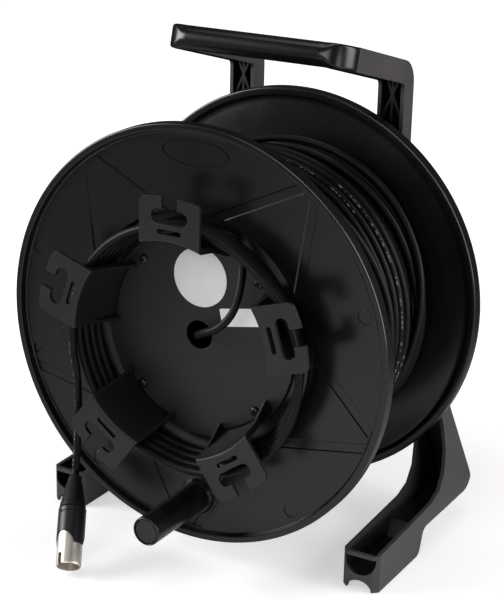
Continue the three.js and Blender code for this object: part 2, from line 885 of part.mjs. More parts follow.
// Female connector: boot, body with a latch pocket, insert with three holes, latch button
function socketParts() {
  const { start, along, outward } = socketFrame();
  const bodyStart = socketBoot + seatGap;
  const bootProfile = [
    [0, 0],
    [socketBootTop, 0],
    [socketBootRadius, socketBoot / 2],
    [socketRadius - seatGap, socketBoot],
    [0, socketBoot],
  ];
  const insertStart = socketLength - socketInsertLength;
  const bore = socketInsertRadius + seatGap;
  const shell = revolve([
    [0, bodyStart],
    [socketRadius, bodyStart],
    [socketRadius, socketLength - knobBevel],
    [socketRadius - knobBevel, socketLength],
    [bore, socketLength],
    [bore, insertStart - seatGap],
    [0, insertStart - seatGap],
  ], socketFacets);
  const latchEnd = insertStart - latchHeight;
  const latchStart = latchEnd - latchLength;
  const pocketFloor = socketRadius - latchPocket;
  const pocket = latchBlock(latchStart - seatGap, latchEnd + seatGap, latchWidth + 2 * seatGap,
    pocketFloor, socketRadius + overrun);
  const latchTop = socketRadius + latchProud;
  const latch = latchBlock(latchStart, latchEnd, latchWidth, latchTop - latchHeight, latchTop);
  const pinHoles = Array.from({ length: pinCount }, (_, k) => {
    const [x, z] = polar(socketPinPlace, (360 * k) / pinCount);
    return rod(socketPinHole, insertStart + overrun / 2, socketLength + overrun, 8, x, z);
  });
  const insertBody = rod(socketInsertRadius, insertStart, socketLength - seatGap, socketFacets);
  const group = new THREE.Group();
  const turned = new THREE.Matrix4().makeBasis(outward.clone().cross(along).negate(), along, outward);
  group.quaternion.setFromRotationMatrix(turned.setPosition(0, 0, 0));
  group.position.copy(start);
  group.add(
    piece('socket_boot', revolve(bootProfile, socketFacets), cordRubber()),
    piece('socket_body', cut(shell, pocket), gripPlastic()),
    piece('socket_insert', cut(insertBody, ...pinHoles), corePlastic()),
    piece('socket_latch', latch, nickel()),
  );
  return group;
}

function latchBlock(from, to, width, bottom, top) {
  return slabY(rectangle(width, top - bottom, 0, (top + bottom) / 2), from, to);
}

// Points of the tail's coil round the holder's arms, looser at the right and the bottom
function coilPoints() {
  const steps = Math.round(coilTurns * loopSteps);
  return Array.from({ length: steps + 1 }, (_, i) => {
    const turns = i / loopSteps;
    const angle = coilStart + 360 * turns;
    const slack = ((1 + Math.cos(radians(angle - coilSlackAngle))) / 2) ** 2;
    const radius = coilRadius + coilGrowth * turns + (coilSlack + coilSlackGrowth * turns) * slack;
    const [x, z] = polar(radius, angle);
    return new THREE.Vector3(x, coilBack - coilPitch * turns, z);
  });
}

// Straight end of a wound tube, one diameter long
function straightEnd(end, before) {
  return end.clone().addScaledVector(end.clone().sub(before).normalize(), 2 * cordRadius);
}

function plugAlong() {
  return plugTip.clone().sub(plugTop).normalize();
}

// Male connector: boot, body with two tongues, metal shell, insert with three pins
function plugParts() {
  const along = plugAlong();
  const length = plugTip.distanceTo(plugTop);
  const bootProfile = [
    [0, 0],
    [plugBootTop, 0],
    [plugBootTop + plugBootRadius / 8, plugBoot / 6],
    [plugBootRadius - plugGroove, plugBoot * plugBootNeckShare],
    [plugBootRadius, plugBoot],
    [0, plugBoot],
  ];
  const bodyStart = plugBoot + seatGap;
  const grooveStart = bodyStart + plugGroovePlace;
  const bore = shellRadius + seatGap;
  const body = revolve([
    [bore, bodyStart + shellWall],
    [plugRadius - plugGroove, bodyStart],
    [plugRadius, bodyStart + plugGroove],
    [plugRadius, grooveStart],
    [plugRadius - plugWall, grooveStart + plugGrooveWidth / 4],
    [plugRadius - plugWall, grooveStart + (3 * plugGrooveWidth) / 4],
    [plugRadius, grooveStart + plugGrooveWidth],
    [plugRadius, plugTongue],
    [bore, plugTongue],
  ], plugFacets);
  const archRadius = plugTongue - plugArch;
  const arch = new THREE.CylinderGeometry(archRadius, archRadius, 4 * plugRadius, 20);
  arch.rotateX(Math.PI / 2).translate(0, plugTongue, 0);
  const shell = ring(shellRadius - shellWall, shellRadius, shellBack, length, plugFacets);
  const insertRadius = shellRadius - shellWall - seatGap;
  const pins = Array.from({ length: pinCount }, (_, k) => {
    const [x, z] = polar(pinPlace, 90 + (360 * k) / pinCount);
    return rod(pinRadius, insertFront - pinRadius, insertFront + pinLength, 8, x, z);
  });
  const insert = join(rod(insertRadius, insertBack, insertFront, plugFacets), ...pins);
  const group = new THREE.Group();
  const side = new THREE.Vector3().crossVectors(along, back).normalize();
  const turned = new THREE.Matrix4().makeBasis(side, along, side.clone().cross(along));
  group.quaternion.setFromRotationMatrix(turned);
  group.position.copy(plugTop);
  group.add(
    piece('plug_boot', revolve(bootProfile, plugFacets), cordRubber()),
    piece('plug_body', cut(body, arch), gripPlastic()),
    piece('plug_shell', shell, nickel()),
    piece('plug_insert', insert, corePlastic()),
  );
  return group;
}

// Cable pieces
function cableParts() {
  const winding = windingEnd(windingPoints());
  const coil = coilPoints();
  const coilOut = straightEnd(coil[coil.length - 1], coil[coil.length - 2]);
  const coilIn = straightEnd(coil[0], coil[1]);
  const wound = [coilIn, ...coil, coilOut];
  console.log('least gap of the winding to itself', leastGap(winding, cordRadius).toFixed(2));
  console.log('least gap of the coil to itself', leastGap(wound, cordRadius).toFixed(2));
  const inDirection = coilIn.clone().sub(coil[0]).normalize();
  const outDirection = coilOut.clone().sub(coil[coil.length - 1]).normalize();
  const leadEnd = coilIn.clone().addScaledVector(inDirection, seatGap);
  const leadBend = leadEnd.clone().addScaledVector(inDirection, 2 * cordRadius);
  const dropStart = coilOut.clone().addScaledVector(outDirection, seatGap);
  const dropBend = dropStart.clone().addScaledVector(outDirection, 2 * cordRadius);
  const dropEnd = plugTop.clone().addScaledVector(plugAlong(), -seatGap);
  const dropLean = dropEnd.clone().addScaledVector(plugAlong(), -2 * cordRadius);
  const lead = [...tailLeadRoute, leadBend.toArray(), leadEnd.toArray()];
  const drop = [dropStart, dropBend].map((point) => point.toArray());
  drop.push(...tailDropRoute, dropLean.toArray(), dropEnd.toArray());
  return [
    piece('cable_inner_layers', innerLayers(), cordRubber()),
    piece('cable_winding', sweep(winding, cordRadius, windingSides, back), cordRubber()),
    piece('inner_lead', tube(innerLeadRoute, 12), cordRubber()),
    piece('tail_lead', tube(lead, 14), cordRubber()),
    piece('tail_coil', sweep(wound, cordRadius, coilSides, back), cordRubber()),
    piece('tail_drop', tube(drop, 12), cordRubber()),
  ];
}

// Side frame outlines
function innerEdge(z) {
  const share = (splayStart - z) / (splayStart - splayEnd);
  return postInner + (footInner - postInner) * THREE.MathUtils.clamp(share, 0, 1);
}

function outerEdge(z) {
  const share = (splayStart - z) / (splayStart - splayEnd);
  return postOuter + (footOuter - postOuter) * THREE.MathUtils.clamp(share, 0, 1);
}

function middleEdge(z) {
  return (innerEdge(z) + outerEdge(z)) / 2;
}

// Height of the handle arm's centre line at a place along the depth
function armLine(y) {
  return seamHeight - (y - seamPlace) * Math.tan(radians(handleTilt));
}

// Outline of the side in X and Z, drawn in by an inset
function frontOutline(inset, side) {
  const [top, bottom] = [seamHeight + handleThick, -axleHeight];
  const heights = [bottom, splayEnd, splayStart, top];
  const outer = heights.map((z) => [side * (outerEdge(z) - inset), z]);
  const inner = heights.map((z) => [side * (innerEdge(z) + inset), z]).reverse();
  return outline([...outer, ...inner]);
}

// Outline of the side in Y and Z
function sideOutline() {
  const halfHeight = handleThick / 2 / Math.cos(radians(handleTilt));
  const lean = (handleThick / 2) * Math.sin(radians(handleTilt));
  const rise = (handleThick / 2) * Math.cos(radians(handleTilt));
  return outline([
    [seamPlace + lean, seamHeight + rise],
    [frameRear, armLine(frameRear) + halfHeight, shoulderRound],
    [frameRear, footUnder, footHeelRound],
    [footPadRear + footPadRound, footUnder, footPadRound],
    [footPadRear, -axleHeight, footPadRound],
    [footFront, -axleHeight],
    [footFront, footTop],
    [frameFront, footTop + footRise, kneeRound],
    [frameFront, armLine(frameFront) - halfHeight, elbowRound],
    [seamPlace - lean, seamHeight - rise],
  ]);
}

// Hollow of the side in Y and Z, open to the front of the post and leg, below the arm and above the foot
function hollowOutline() {
  const halfHeight = handleThick / 2 / Math.cos(radians(handleTilt)) - frameWall;
  const rear = frameRear - frameWall;
  const open = seamPlace - overrun;
  return outline([
    [open, armLine(open) + halfHeight],
    [rear, armLine(rear) + halfHeight, shoulderRound - frameWall],
    [rear, footUnder + frameWall, footHeelRound - frameWall],
    [footPadRear - frameWall + footPadRound, footUnder + frameWall],
    [footPadRear - frameWall, footFloor],
    [footFront + frameWall, footFloor],
    [footFront + frameWall, 0],
    [open, 0],
  ]);
}

function sideFrame(side) {
  const near = side * (postInner - overrun);
  const far = side * (footOuter + overrun);
  const [from, to] = [Math.min(near, far), Math.max(near, far)];
  const front = footFront - overrun;
  const rear = frameRear + overrun;
  const hull = overlap(slabY(frontOutline(0, side), front, rear), slabX(sideOutline(), from, to));
  const inside = slabX(hollowOutline(), from, to);
  const hollow = overlap(slabY(frontOutline(frameWall, side), front, rear), inside);
  return join(cut(hull, hollow, ...footCuts(side)), overlap(frameRibs(side), hull));
}

// Under-floor hollow, door and arch in the front wall, chamfers on its edges
function footCuts(side) {
  const middle = (side * (footInner + footOuter)) / 2;
  const inside = footOuter - footInner - 2 * frameWall;
  const under = slabY(rectangle(inside, 2 * overrun, middle, footFloor - footFloorSkin - overrun),
    footFront + frameWall, footPadRear - frameWall);
  const round = doorWidth / 2;
  const door = outline([
    [middle - round, doorTop],
    [middle + round, doorTop],
    [middle + round, doorBottom, round * roundShare],
    [middle - round, doorBottom, round * roundShare],
  ]);
  const arch = new THREE.Shape();
  arch.absellipse(middle, -axleHeight, archWidth / 2, archHeight, 0, 2 * Math.PI);
  const wallEnd = footFront + frameWall + overrun / 2;
  const chamfers = [footInner, footOuter].map((edge, k) => {
    const inward = (k === 0 ? 1 : -1) * side * footChamfer;
    const wedge = outline([
      [side * edge - inward, footFront - footChamfer],
      [side * edge - inward, footFront + 2 * footChamfer],
      [side * edge + 2 * inward, footFront - footChamfer],
    ]);
    return slabZ(wedge, -axleHeight - overrun, footTop + overrun);
  });
  return [
    under,
    slabY(door, footFront - overrun, wallEnd),
    slabY(arch, footFront - overrun, wallEnd, 8),
    ...chamfers,
  ];
}

// Middle rib, crossed diagonals and bosses between the walls of the post and leg
function frameRibs(side) {
  const front = frameFront + ribRecess;
  const rear = frameRear - frameWall / 2;
  const half = ribSkin / 2;
  const bottom = ribTop - ribBay * ribBays;
  const heights = [bottom, splayStart, ribTop];
  const spine = outline([
    ...heights.map((z) => [side * (middleEdge(z) + half), z]),
    ...heights.map((z) => [side * (middleEdge(z) - half), z]).reverse(),
  ]);
  const diagonals = [];
  for (let k = 0; k < ribBays; k++) {
    const high = ribTop - ribBay * k;
    const low = high - ribBay;
    const wall = frameWall / 2;
    diagonals.push(strut(side * (innerEdge(high) + wall), high, side * (outerEdge(low) - wall), low));
    diagonals.push(strut(side * (outerEdge(high) - wall), high, side * (innerEdge(low) + wall), low));
  }
  const bosses = [upperBossPlace, lowerBossPlace].map((z) => {
    return rod(plateBoss, frameFront, rear, 12, side * middleEdge(z), z);
  });
  const drillRadius = screwRadius + seatGap;
  const drilled = [upperBossPlace, lowerBossPlace].map((z) => {
    return rod(drillRadius, frameFront - overrun, rear - ribSkin, screwFacets, side * middleEdge(z), z);
  });
  const ribs = [spine, ...diagonals].map((shape) => slabY(shape, front, rear));
  return cut(join(...ribs, ...bosses), ...drilled);
}

function strut(x1, z1, x2, z2) {
  const across = new THREE.Vector2(x2 - x1, z2 - z1).normalize().multiplyScalar(ribSkin / 2);
  return outline([
    [x1 - across.y, z1 + across.x],
    [x1 + across.y, z1 - across.x],
    [x2 + across.y, z2 - across.x],
    [x2 - across.y, z2 + across.x],
  ]);
}

// Grip: one bar with two corners, flat at its ends and rounded in the middle, with a spigot in each arm
function gripRings() {
  const tilt = radians(handleTilt);
  const forward = new THREE.Vector3(0, -Math.cos(tilt), Math.sin(tilt));
  const above = new THREE.Vector3(0, Math.sin(tilt), Math.cos(tilt));
  const seam = new THREE.Vector3(0, seamPlace, seamHeight);
  const width = postOuter - postInner;
  const armMiddle = (postOuter + postInner) / 2;
  const bend = width / 2 + gripInnerRound;
  const reach = (seamPlace - gripFront) / Math.cos(tilt) - width / 2;
  const places = [[armMiddle, seatGap, 0], [armMiddle, reach - bend, 0]];
  const bendSteps = 6;
  for (let k = 1; k <= bendSteps; k++) {
    const turn = (90 * k) / bendSteps;
    const [a, b] = polar(bend, turn);
    places.push([armMiddle - bend + a, reach - bend + b, turn]);
  }
  const middle = [gripFlatHalf, (gripFlatHalf + gripSoftHalf) / 2, gripSoftHalf];
  places.push(...middle.map((x) => [x, reach, 90]));
  const mirrored = places.map(([x, v, turn]) => [-x, v, 180 - turn]).reverse();
  return [...places, ...mirrored].map(([x, v, turn]) => {
    const centre = seam.clone().addScaledVector(right, x).addScaledVector(forward, v);
    const [a, b] = polar(1, turn);
    const outward = right.clone().multiplyScalar(a).addScaledVector(forward, b);
    const soft = 1 - smooth((Math.abs(x) - gripSoftHalf) / (gripFlatHalf - gripSoftHalf));
    const edge = gripEdge + (gripSoftEdge - gripEdge) * soft;
    return softSection(width, handleThick, edge).map(([p, q]) => {
      return centre.clone().addScaledVector(outward, p).addScaledVector(above, q);
    });
  });
}

// Rounded rectangle with the same number of points for any rounding
function softSection(width, height, edge) {
  const arcSteps = 3;
  const points = [];
  for (let corner = 0; corner < 4; corner++) {
    const [signX, signZ] = [[1, 1], [-1, 1], [-1, -1], [1, -1]][corner];
    for (let k = 0; k <= arcSteps; k++) {
      const [a, b] = polar(edge, 90 * corner + (90 * k) / arcSteps);
      points.push([signX * (width / 2 - edge) + a, signZ * (height / 2 - edge) + b]);
    }
  }
  return points;
}

function handleGrip() {
  const tilt = radians(handleTilt);
  const width = postOuter - postInner - 2 * (frameWall + seatGap);
  const height = handleThick / 2 - frameWall - seatGap;
  const spigots = [-1, 1].map((side) => {
    const block = slabY(rectangle(width, height, 0, height / 2), -overrun / 2, spigotLength);
    block.rotateX(-tilt).translate((side * (postOuter + postInner)) / 2, seamPlace, seamHeight);
    return block;
  });
  return join(loft(gripRings()), ...spigots);
}

// Hub plate: a disc with four arms to the bosses of the side frames
function hubPlate() {
  const places = [upperBossPlace, lowerBossPlace].flatMap((z) => {
    return [[middleEdge(z), z], [-middleEdge(z), z]];
  });
  const arms = places.map(([x, z]) => {
    const length = Math.hypot(x, z);
    const arm = outline([
      [0, -plateWaist],
      [length, -plateArm, plateArm * roundShare],
      [length, plateArm, plateArm * roundShare],
      [0, plateWaist],
    ]);
    const reach = slabY(arm, platePlace, frameFront).rotateY(-Math.atan2(z, x));
    return join(reach, rod(plateArm, platePlace, frameFront, 16, x, z));
  });
  const ribs = places.map(([x, z]) => {
    const length = postInner - plateBossRadius;
    const rib = rectangle(length, plateRibSkin, plateBossRadius + length / 2 - plateRibSkin);
    return slabY(rib, frameFront - plateSkin / 2, frameFront + plateRibHeight).rotateY(-Math.atan2(z, x));
  });
  const collar = rod(plateBossRadius, platePlace, frameFront + plateRibHeight, axleFacets);
  const body = join(rod(plateHub, platePlace, frameFront, coreFacets), ...arms, ...ribs, collar);
  const holes = places.map(([x, z]) => {
    return rod(screwRadius + seatGap, platePlace - overrun, frameFront + overrun, screwFacets, x, z);
  });
  const axleHole = rod(axleThread + runGap, platePlace - overrun, frameRear, axleFacets);
  return cut(body, axleHole, ...holes);
}

function washer(name, inner, outer, front, rear) {
  return piece(name, ring(inner, outer, front, rear, washerFacets), steel());
}

// Axle with its collar against the hub plate, and the rings that hold the drum on it
function axleParts() {
  const nutSeat = frameFront + plateRibHeight;
  const collarFace = platePlace - axleCollarSkin;
  const grooveFront = hubFront - seatGap - washerSkin - ringWidth - seatGap;
  const grooveFloor = axleRadius - ringGroove;
  const axle = revolve([
    [0, axleFront],
    [axleRadius - axleChamfer, axleFront],
    [axleRadius, axleFront + axleChamfer],
    [axleRadius, grooveFront - runGap],
    [grooveFloor, grooveFront - runGap],
    [grooveFloor, grooveFront + ringWidth + runGap],
    [axleRadius, grooveFront + ringWidth + runGap],
    [axleRadius, collarFace],
    [axleCollar, collarFace],
    [axleCollar, platePlace],
    [axleThread, platePlace],
    [axleThread, nutSeat + washerSkin + nutHeight],
    [0, nutSeat + washerSkin + nutHeight],
  ], axleFacets);
  const bore = axleRadius + washerGap;
  const frontWasherFace = hubFront - seatGap - washerSkin;
  const rearWasherFace = hubRear + seatGap / 2;
  const threadBore = axleThread + washerGap;
  const nutFace = nutSeat + washerSkin;
  return [
    piece('axle', axle, steel()),
    washer('retaining_ring', grooveFloor + washerGap, ringRadius, grooveFront, grooveFront + ringWidth),
    washer('thrust_washer_front', bore, washerRadius, frontWasherFace, frontWasherFace + washerSkin),
    washer('thrust_washer_rear', bore, washerRadius, rearWasherFace, collarFace),
    washer('axle_washer', threadBore, washerRadius, nutSeat, nutFace),
    hexNut('axle_nut', nutRadius, threadBore, nutFace, nutHeight),
  ];
}

// Assembly: everything is placed from the axle's centre and the front rim's face
const frame = new THREE.Group();
frame.add(
  piece('side_frame_right', sideFrame(1), framePlastic()),
  piece('side_frame_left', sideFrame(-1), framePlastic()),
  piece('handle_grip', handleGrip(), gripPlastic()),
  piece('hub_plate', hubPlate(), framePlastic()),
  ...axleParts(),
);
[upperBossPlace, lowerBossPlace].forEach((z, row) => {
  [1, -1].forEach((side, column) => {
    frame.add(screw(`hub_screw_${2 * row + column + 1}`, side * middleEdge(z), platePlace, z));
  });
});

const drum = new THREE.Group();
drum.add(
  piece('front_flange', frontFlange(), flangePlastic()),
  piece('rear_flange', rearFlange(), flangePlastic()),
  piece('drum_core', drumCore(), corePlastic()),
  piece('front_bush', bush(hubFront), bronze()),
  piece('rear_bush', bush(hubRear - bushLength), bronze()),
  piece('cable_holder', holderDisc(), corePlastic()),
  ...Array.from({ length: armCount }, (_, k) => holderArm(k)),
  ...crankParts(),
  ...cableParts(),
  socketParts(),
  plugParts(),
);
bossPlaces().forEach(([x, z], k) => {
  drum.add(
    screw(`holder_screw_${k + 1}`, x, holderFace, z),
    screw(`rear_screw_${k + 1}`, x, rearFace + flangeSkin, z, true),
  );
});

const cableDrum = new THREE.Group();
cableDrum.position.set(0, frontFacePlace, axleHeight);
cableDrum.add(frame, drum);

export default cableDrum;
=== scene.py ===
import math

import bpy
from mathutils import Matrix, Vector, noise


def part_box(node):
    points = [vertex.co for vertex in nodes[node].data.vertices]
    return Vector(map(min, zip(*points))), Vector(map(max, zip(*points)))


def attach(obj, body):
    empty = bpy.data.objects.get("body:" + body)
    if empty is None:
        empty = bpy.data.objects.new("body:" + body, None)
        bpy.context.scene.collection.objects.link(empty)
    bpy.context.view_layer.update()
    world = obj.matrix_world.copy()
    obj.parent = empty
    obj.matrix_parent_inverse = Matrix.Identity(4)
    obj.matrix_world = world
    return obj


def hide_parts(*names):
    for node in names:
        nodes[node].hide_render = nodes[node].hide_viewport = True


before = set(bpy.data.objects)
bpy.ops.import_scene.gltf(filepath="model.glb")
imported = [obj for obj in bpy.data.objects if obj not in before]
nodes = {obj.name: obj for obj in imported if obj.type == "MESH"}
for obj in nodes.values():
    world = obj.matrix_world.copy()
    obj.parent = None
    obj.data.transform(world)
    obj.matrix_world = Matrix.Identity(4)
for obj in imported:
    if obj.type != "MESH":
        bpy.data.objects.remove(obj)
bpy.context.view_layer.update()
print("frame loaded,", len(nodes), "nodes")

mm = 0.001
axleHeight = 178.5        # the axle's centre over the floor
frontFace = -66.45        # the front rim's face, where y is 0 for all sizes below
holderFace = 12.5         # front of the disc that carries the tail


def place(x, y, z):
    return Vector((x, y + frontFace, z + axleHeight)) * mm


def polar(radius, degrees):
    return radius * math.cos(math.radians(degrees)), radius * math.sin(math.radians(degrees))


def smooth(share):
    share = min(max(share, 0), 1)
    return share * share * (3 - 2 * share)


# Camera, lamps and floor
cameraView = {"lens": 98.491, "sensor": 36, "distance": 1160.29, "azimuth": 29.91, "elevation": 19.25, "roll": 1.25,
              "aimX": 51.42, "aimZ": 40.66}


def addCamera(s):
    a, e, r = (math.radians(s[key]) for key in ("azimuth", "elevation", "roll"))
    back = Vector((math.sin(a) * math.cos(e), -math.cos(a) * math.cos(e), math.sin(e)))
    right = (-back).cross(Vector((0, 0, 1))).normalized()
    up = right.cross(-back)
    turnedRight = right * math.cos(r) + up * math.sin(r)
    turnedUp = up * math.cos(r) - right * math.sin(r)
    data = bpy.data.cameras.new("photoCamera")
    data.lens = s["lens"]
    data.sensor_width = s["sensor"]
    camera = bpy.data.objects.new("photoCamera", data)
    bpy.context.collection.objects.link(camera)
    basis = Matrix((turnedRight, turnedUp, back)).transposed().to_4x4()
    where = place(s["aimX"], 0, s["aimZ"]) + back * s["distance"] * mm
    camera.matrix_world = Matrix.Translation(where) @ basis
    bpy.context.scene.camera = camera


lamps = {   # place, aim, width, height, watts
    "keyLamp": ((-1.50, -0.86, 0.74), (0, 0, 0.2), 0.9, 0.9, 27),
    "frontLamp": ((0.15, -1.95, 0.95), (0, 0, 0.2), 1.0, 0.6, 9),
    "stripLamp": ((1.35, -0.7, 0.4), (0, 0, 0.3), 0.3, 0.6, 2.3),
    "topLamp": ((-0.2, 0.1, 1.9), (0, 0, 0.2), 1.4, 1.0, 7),
    "rightLamp": ((1.5, 0.45, 0.7), (0, 0, 0.2), 0.9, 1.4, 20),
}


def addLamps():
    for name, (where, aim, width, height, watts) in lamps.items():
        data = bpy.data.lights.new(name, "AREA")
        data.shape = "RECTANGLE"
        data.size, data.size_y, data.energy = width, height, watts
        lamp = bpy.data.objects.new(name, data)
        bpy.context.collection.objects.link(lamp)
        lamp.location = where
        lamp.rotation_mode = "QUATERNION"
        lamp.rotation_quaternion = (Vector(aim) - Vector(where)).to_track_quat("-Z", "Y")


# Node helpers
def give(tree, socket, value):     # a link where the value is another node's socket
    if isinstance(value, bpy.types.NodeSocket):
        tree.links.new(value, socket)
    else:
        socket.default_value = value


def newGroup(name, inputs, outputs):
    group = bpy.data.node_groups.new(name, "ShaderNodeTree")
    for label, kind, value in inputs:
        socket = group.interface.new_socket(label, in_out="INPUT", socket_type=kind)
        socket.default_value = value
    for label, kind in outputs:
        group.interface.new_socket(label, in_out="OUTPUT", socket_type=kind)
    return group, group.nodes.new("NodeGroupInput"), group.nodes.new("NodeGroupOutput")


def mathNode(tree, operation, first, second=0, clamp=False):
    node = tree.nodes.new("ShaderNodeMath")
    node.operation, node.use_clamp = operation, clamp
    give(tree, node.inputs[0], first)
    give(tree, node.inputs[1], second)
    return node.outputs[0]


def times(tree, first, *others):
    for other in others:
        first = mathNode(tree, "MULTIPLY", first, other)
    return first


def weighed(tree, first, share, second, otherShare):
    return mathNode(tree, "ADD", times(tree, first, share), times(tree, second, otherShare))


def noiseNode(tree, where, scale, detail=3, roughness=0.55, line=False):     # on a line it reads one number
    node = tree.nodes.new("ShaderNodeTexNoise")
    if line:
        node.noise_dimensions = "1D"
    given = {"W" if line else "Vector": where, "Scale": scale, "Detail": detail, "Roughness": roughness}
    for label, value in given.items():
        give(tree, node.inputs[label], value)
    return node.outputs["Fac"]


def rangeNode(tree, value, low, high, toLow, toHigh):
    node = tree.nodes.new("ShaderNodeMapRange")
    labels = ("Value", "From Min", "From Max", "To Min", "To Max")
    for label, given in zip(labels, (value, low, high, toLow, toHigh)):
        give(tree, node.inputs[label], given)
    return node.outputs["Result"]


def mixColour(tree, share, first, second):
    node = tree.nodes.new("ShaderNodeMix")
    node.data_type = "RGBA"
    for label, given in (("Factor", share), ("A", first), ("B", second)):
        give(tree, node.inputs[label], given)
    return node.outputs["Result"]


def splitNode(tree, vector):
    node = tree.nodes.new("ShaderNodeSeparateXYZ")
    tree.links.new(vector, node.inputs[0])
    return node.outputs["X"], node.outputs["Y"]


def newMaterial(name, **sockets):
    material = bpy.data.materials.new(name)
    material.use_nodes = True
    tree = material.node_tree
    shader = tree.nodes["Principled BSDF"]
    for label, value in sockets.items():
        shader.inputs[label.replace("_", " ")].default_value = value
    return material, tree, shader


def useGroup(tree, group, **values):
    node = tree.nodes.new("ShaderNodeGroup")
    node.node_tree = group
    for label, value in values.items():
        node.inputs[label.replace("_", " ")].default_value = value
    return node


def bumpFrom(tree, shader, height, strength, distance):
    bump = tree.nodes.new("ShaderNodeBump")
    bump.inputs["Strength"].default_value = strength
    bump.inputs["Distance"].default_value = distance
    tree.links.new(height, bump.inputs["Height"])
    tree.links.new(bump.outputs["Normal"], shader.inputs["Normal"])


def addWorld():
    world = bpy.data.worlds.new("studio")
    bpy.context.scene.world = world
    world.use_nodes = True
    tree = world.node_tree
    seen = tree.nodes.new("ShaderNodeLightPath").outputs["Is Camera Ray"]
    colour = mixColour(tree, seen, (0.04, 0.04, 0.045, 1), (1, 1, 1, 1))
    tree.links.new(colour, tree.nodes["Background"].inputs["Color"])


# bright and dark: the two ends of the painted pool of light on the floor
floorLook = {"size": 9, "under": 0.0002, "seen": (0.83, 0.83, 0.84, 1), "bright": (0.88, 0.88, 0.89, 1),
             "dark": (0.02, 0.02, 0.02, 1)}


def addFloor(s):
    bpy.ops.mesh.primitive_plane_add(size=s["size"], location=(0, 0, -s["under"]))
    plane = bpy.context.object
    plane.name = "studioFloor"
    material, tree, shader = newMaterial("paleFloor", Roughness=0.75, Specular_IOR_Level=0.1,
                                         Emission_Color=(1, 1, 1, 1))
    seen = tree.nodes.new("ShaderNodeLightPath").outputs["Is Camera Ray"]
    where = tree.nodes.new("ShaderNodeTexCoord").outputs["Object"]
    x, y = splitNode(tree, where)
    away = tree.nodes.new("ShaderNodeVectorMath")
    away.operation = "LENGTH"
    tree.links.new(where, away.inputs[0])
    # painted pool of light: for all but camera rays the floor's colour is bright in front of the object and fades to
    # dark towards the back and the far left
    near = times(tree, rangeNode(tree, x, -0.5, -0.06, 0.14, 1), rangeNode(tree, y, 0, 0.5, 1, 0.1))
    paintedLightPool = mixColour(tree, near, s["dark"], s["bright"])     # painted pool of light on the floor, which the glossy pieces mirror
    tree.links.new(mixColour(tree, seen, paintedLightPool, s["seen"]), shader.inputs["Base Color"])
    glow = rangeNode(tree, away.outputs["Value"], 0.3, 1.3, 0.5, 1)
    tree.links.new(times(tree, seen, glow), shader.inputs["Emission Strength"])
    plane.data.materials.append(material)


addCamera(cameraView)
addLamps()
addWorld()
addFloor(floorLook)
bpy.context.scene.view_settings.view_transform = "Standard"
print("camera, lamps and floor")


# Materials
def makeMouldedGroup():
    group, given, made = newGroup("mouldedSurface", [
        ("Base", "NodeSocketColor", (0.02, 0.02, 0.02, 1)), ("Worn", "NodeSocketColor", (0.06, 0.06, 0.06, 1)),
        ("Grain Scale", "NodeSocketFloat", 1400), ("Rough Low", "NodeSocketFloat", 0.3),
        ("Rough High", "NodeSocketFloat", 0.45), ("Dust", "NodeSocketFloat", 0.2)],
        [("Color", "NodeSocketColor"), ("Roughness", "NodeSocketFloat"), ("Height", "NodeSocketFloat")])
    given = given.outputs
    where = group.nodes.new("ShaderNodeTexCoord").outputs["Object"]
    cloud = noiseNode(group, where, 9, 4)
    flow = noiseNode(group, where, 42, 5, 0.6)
    grain = noiseNode(group, where, given["Grain Scale"], 2)
    dusty = rangeNode(group, noiseNode(group, where, 620, 2, 0.7), 0.66, 0.78, 0, given["Dust"])
    tone = times(group, rangeNode(group, flow, 0.35, 0.75, 0, 0.45), cloud)
    colour = mixColour(group, tone, given["Base"], given["Worn"])
    rough = rangeNode(group, weighed(group, cloud, 0.6, flow, 0.4), 0.3, 0.7, given["Rough Low"], given["Rough High"])
    group.links.new(mixColour(group, dusty, colour, (0.22, 0.22, 0.22, 1)), made.inputs["Color"])
    group.links.new(mathNode(group, "ADD", rough, times(group, dusty, 0.5), True), made.inputs["Roughness"])
    group.links.new(weighed(group, grain, 0.7, flow, 0.3), made.inputs["Height"])
    return group


def makeScratchGroup():
    group, given, made = newGroup("fineScratches", [
        ("Scale", "NodeSocketFloat", 60), ("Amount", "NodeSocketFloat", 0.3)], [("Mask", "NodeSocketFloat")])
    where = group.nodes.new("ShaderNodeTexCoord").outputs["Object"]
    masks = []
    for turn, stretch in ((0.5, 26), (1.9, 34)):
        mapping = group.nodes.new("ShaderNodeMapping")
        mapping.inputs["Rotation"].default_value = (turn, turn * 0.7, turn * 1.3)
        mapping.inputs["Scale"].default_value = (1, stretch, 1)
        group.links.new(where, mapping.inputs["Vector"])
        line = noiseNode(group, mapping.outputs["Vector"], given.outputs["Scale"], 2, 0.5)
        masks.append(rangeNode(group, line, 0.68, 0.74, 0, given.outputs["Amount"]))
    patch = rangeNode(group, noiseNode(group, where, 14, 2), 0.48, 0.62, 0, 1)
    group.links.new(times(group, mathNode(group, "MAXIMUM", *masks), patch), made.inputs["Mask"])
    return group


def makePrintGroup():     # short dashes in a row along the cable, on one stretch in five
    group, given, made = newGroup("printedLine", [("Amount", "NodeSocketFloat", 0.6)], [("Mask", "NodeSocketFloat")])
    uv = group.nodes.new("ShaderNodeUVMap")
    uv.uv_map = "cableMap"
    along, around = splitNode(group, uv.outputs["UV"])
    aside = mathNode(group, "ABSOLUTE", mathNode(group, "SUBTRACT", mathNode(group, "FRACT", around), 0.5))
    band = rangeNode(group, aside, 0.02, 0.032, 1, 0)
    dashes = rangeNode(group, noiseNode(group, along, 300, 1, 0.5, True), 0.49, 0.53, 0, 1)
    breaks = rangeNode(group, noiseNode(group, along, 75, 0, 0.5, True), 0.4, 0.44, 0, 1)
    stretch = rangeNode(group, mathNode(group, "FRACT", times(group, along, 1.1)), 0.8, 0.801, 0, 1)
    group.links.new(times(group, band, dashes, breaks, stretch, given.outputs["Amount"]), made.inputs["Mask"])
    return group


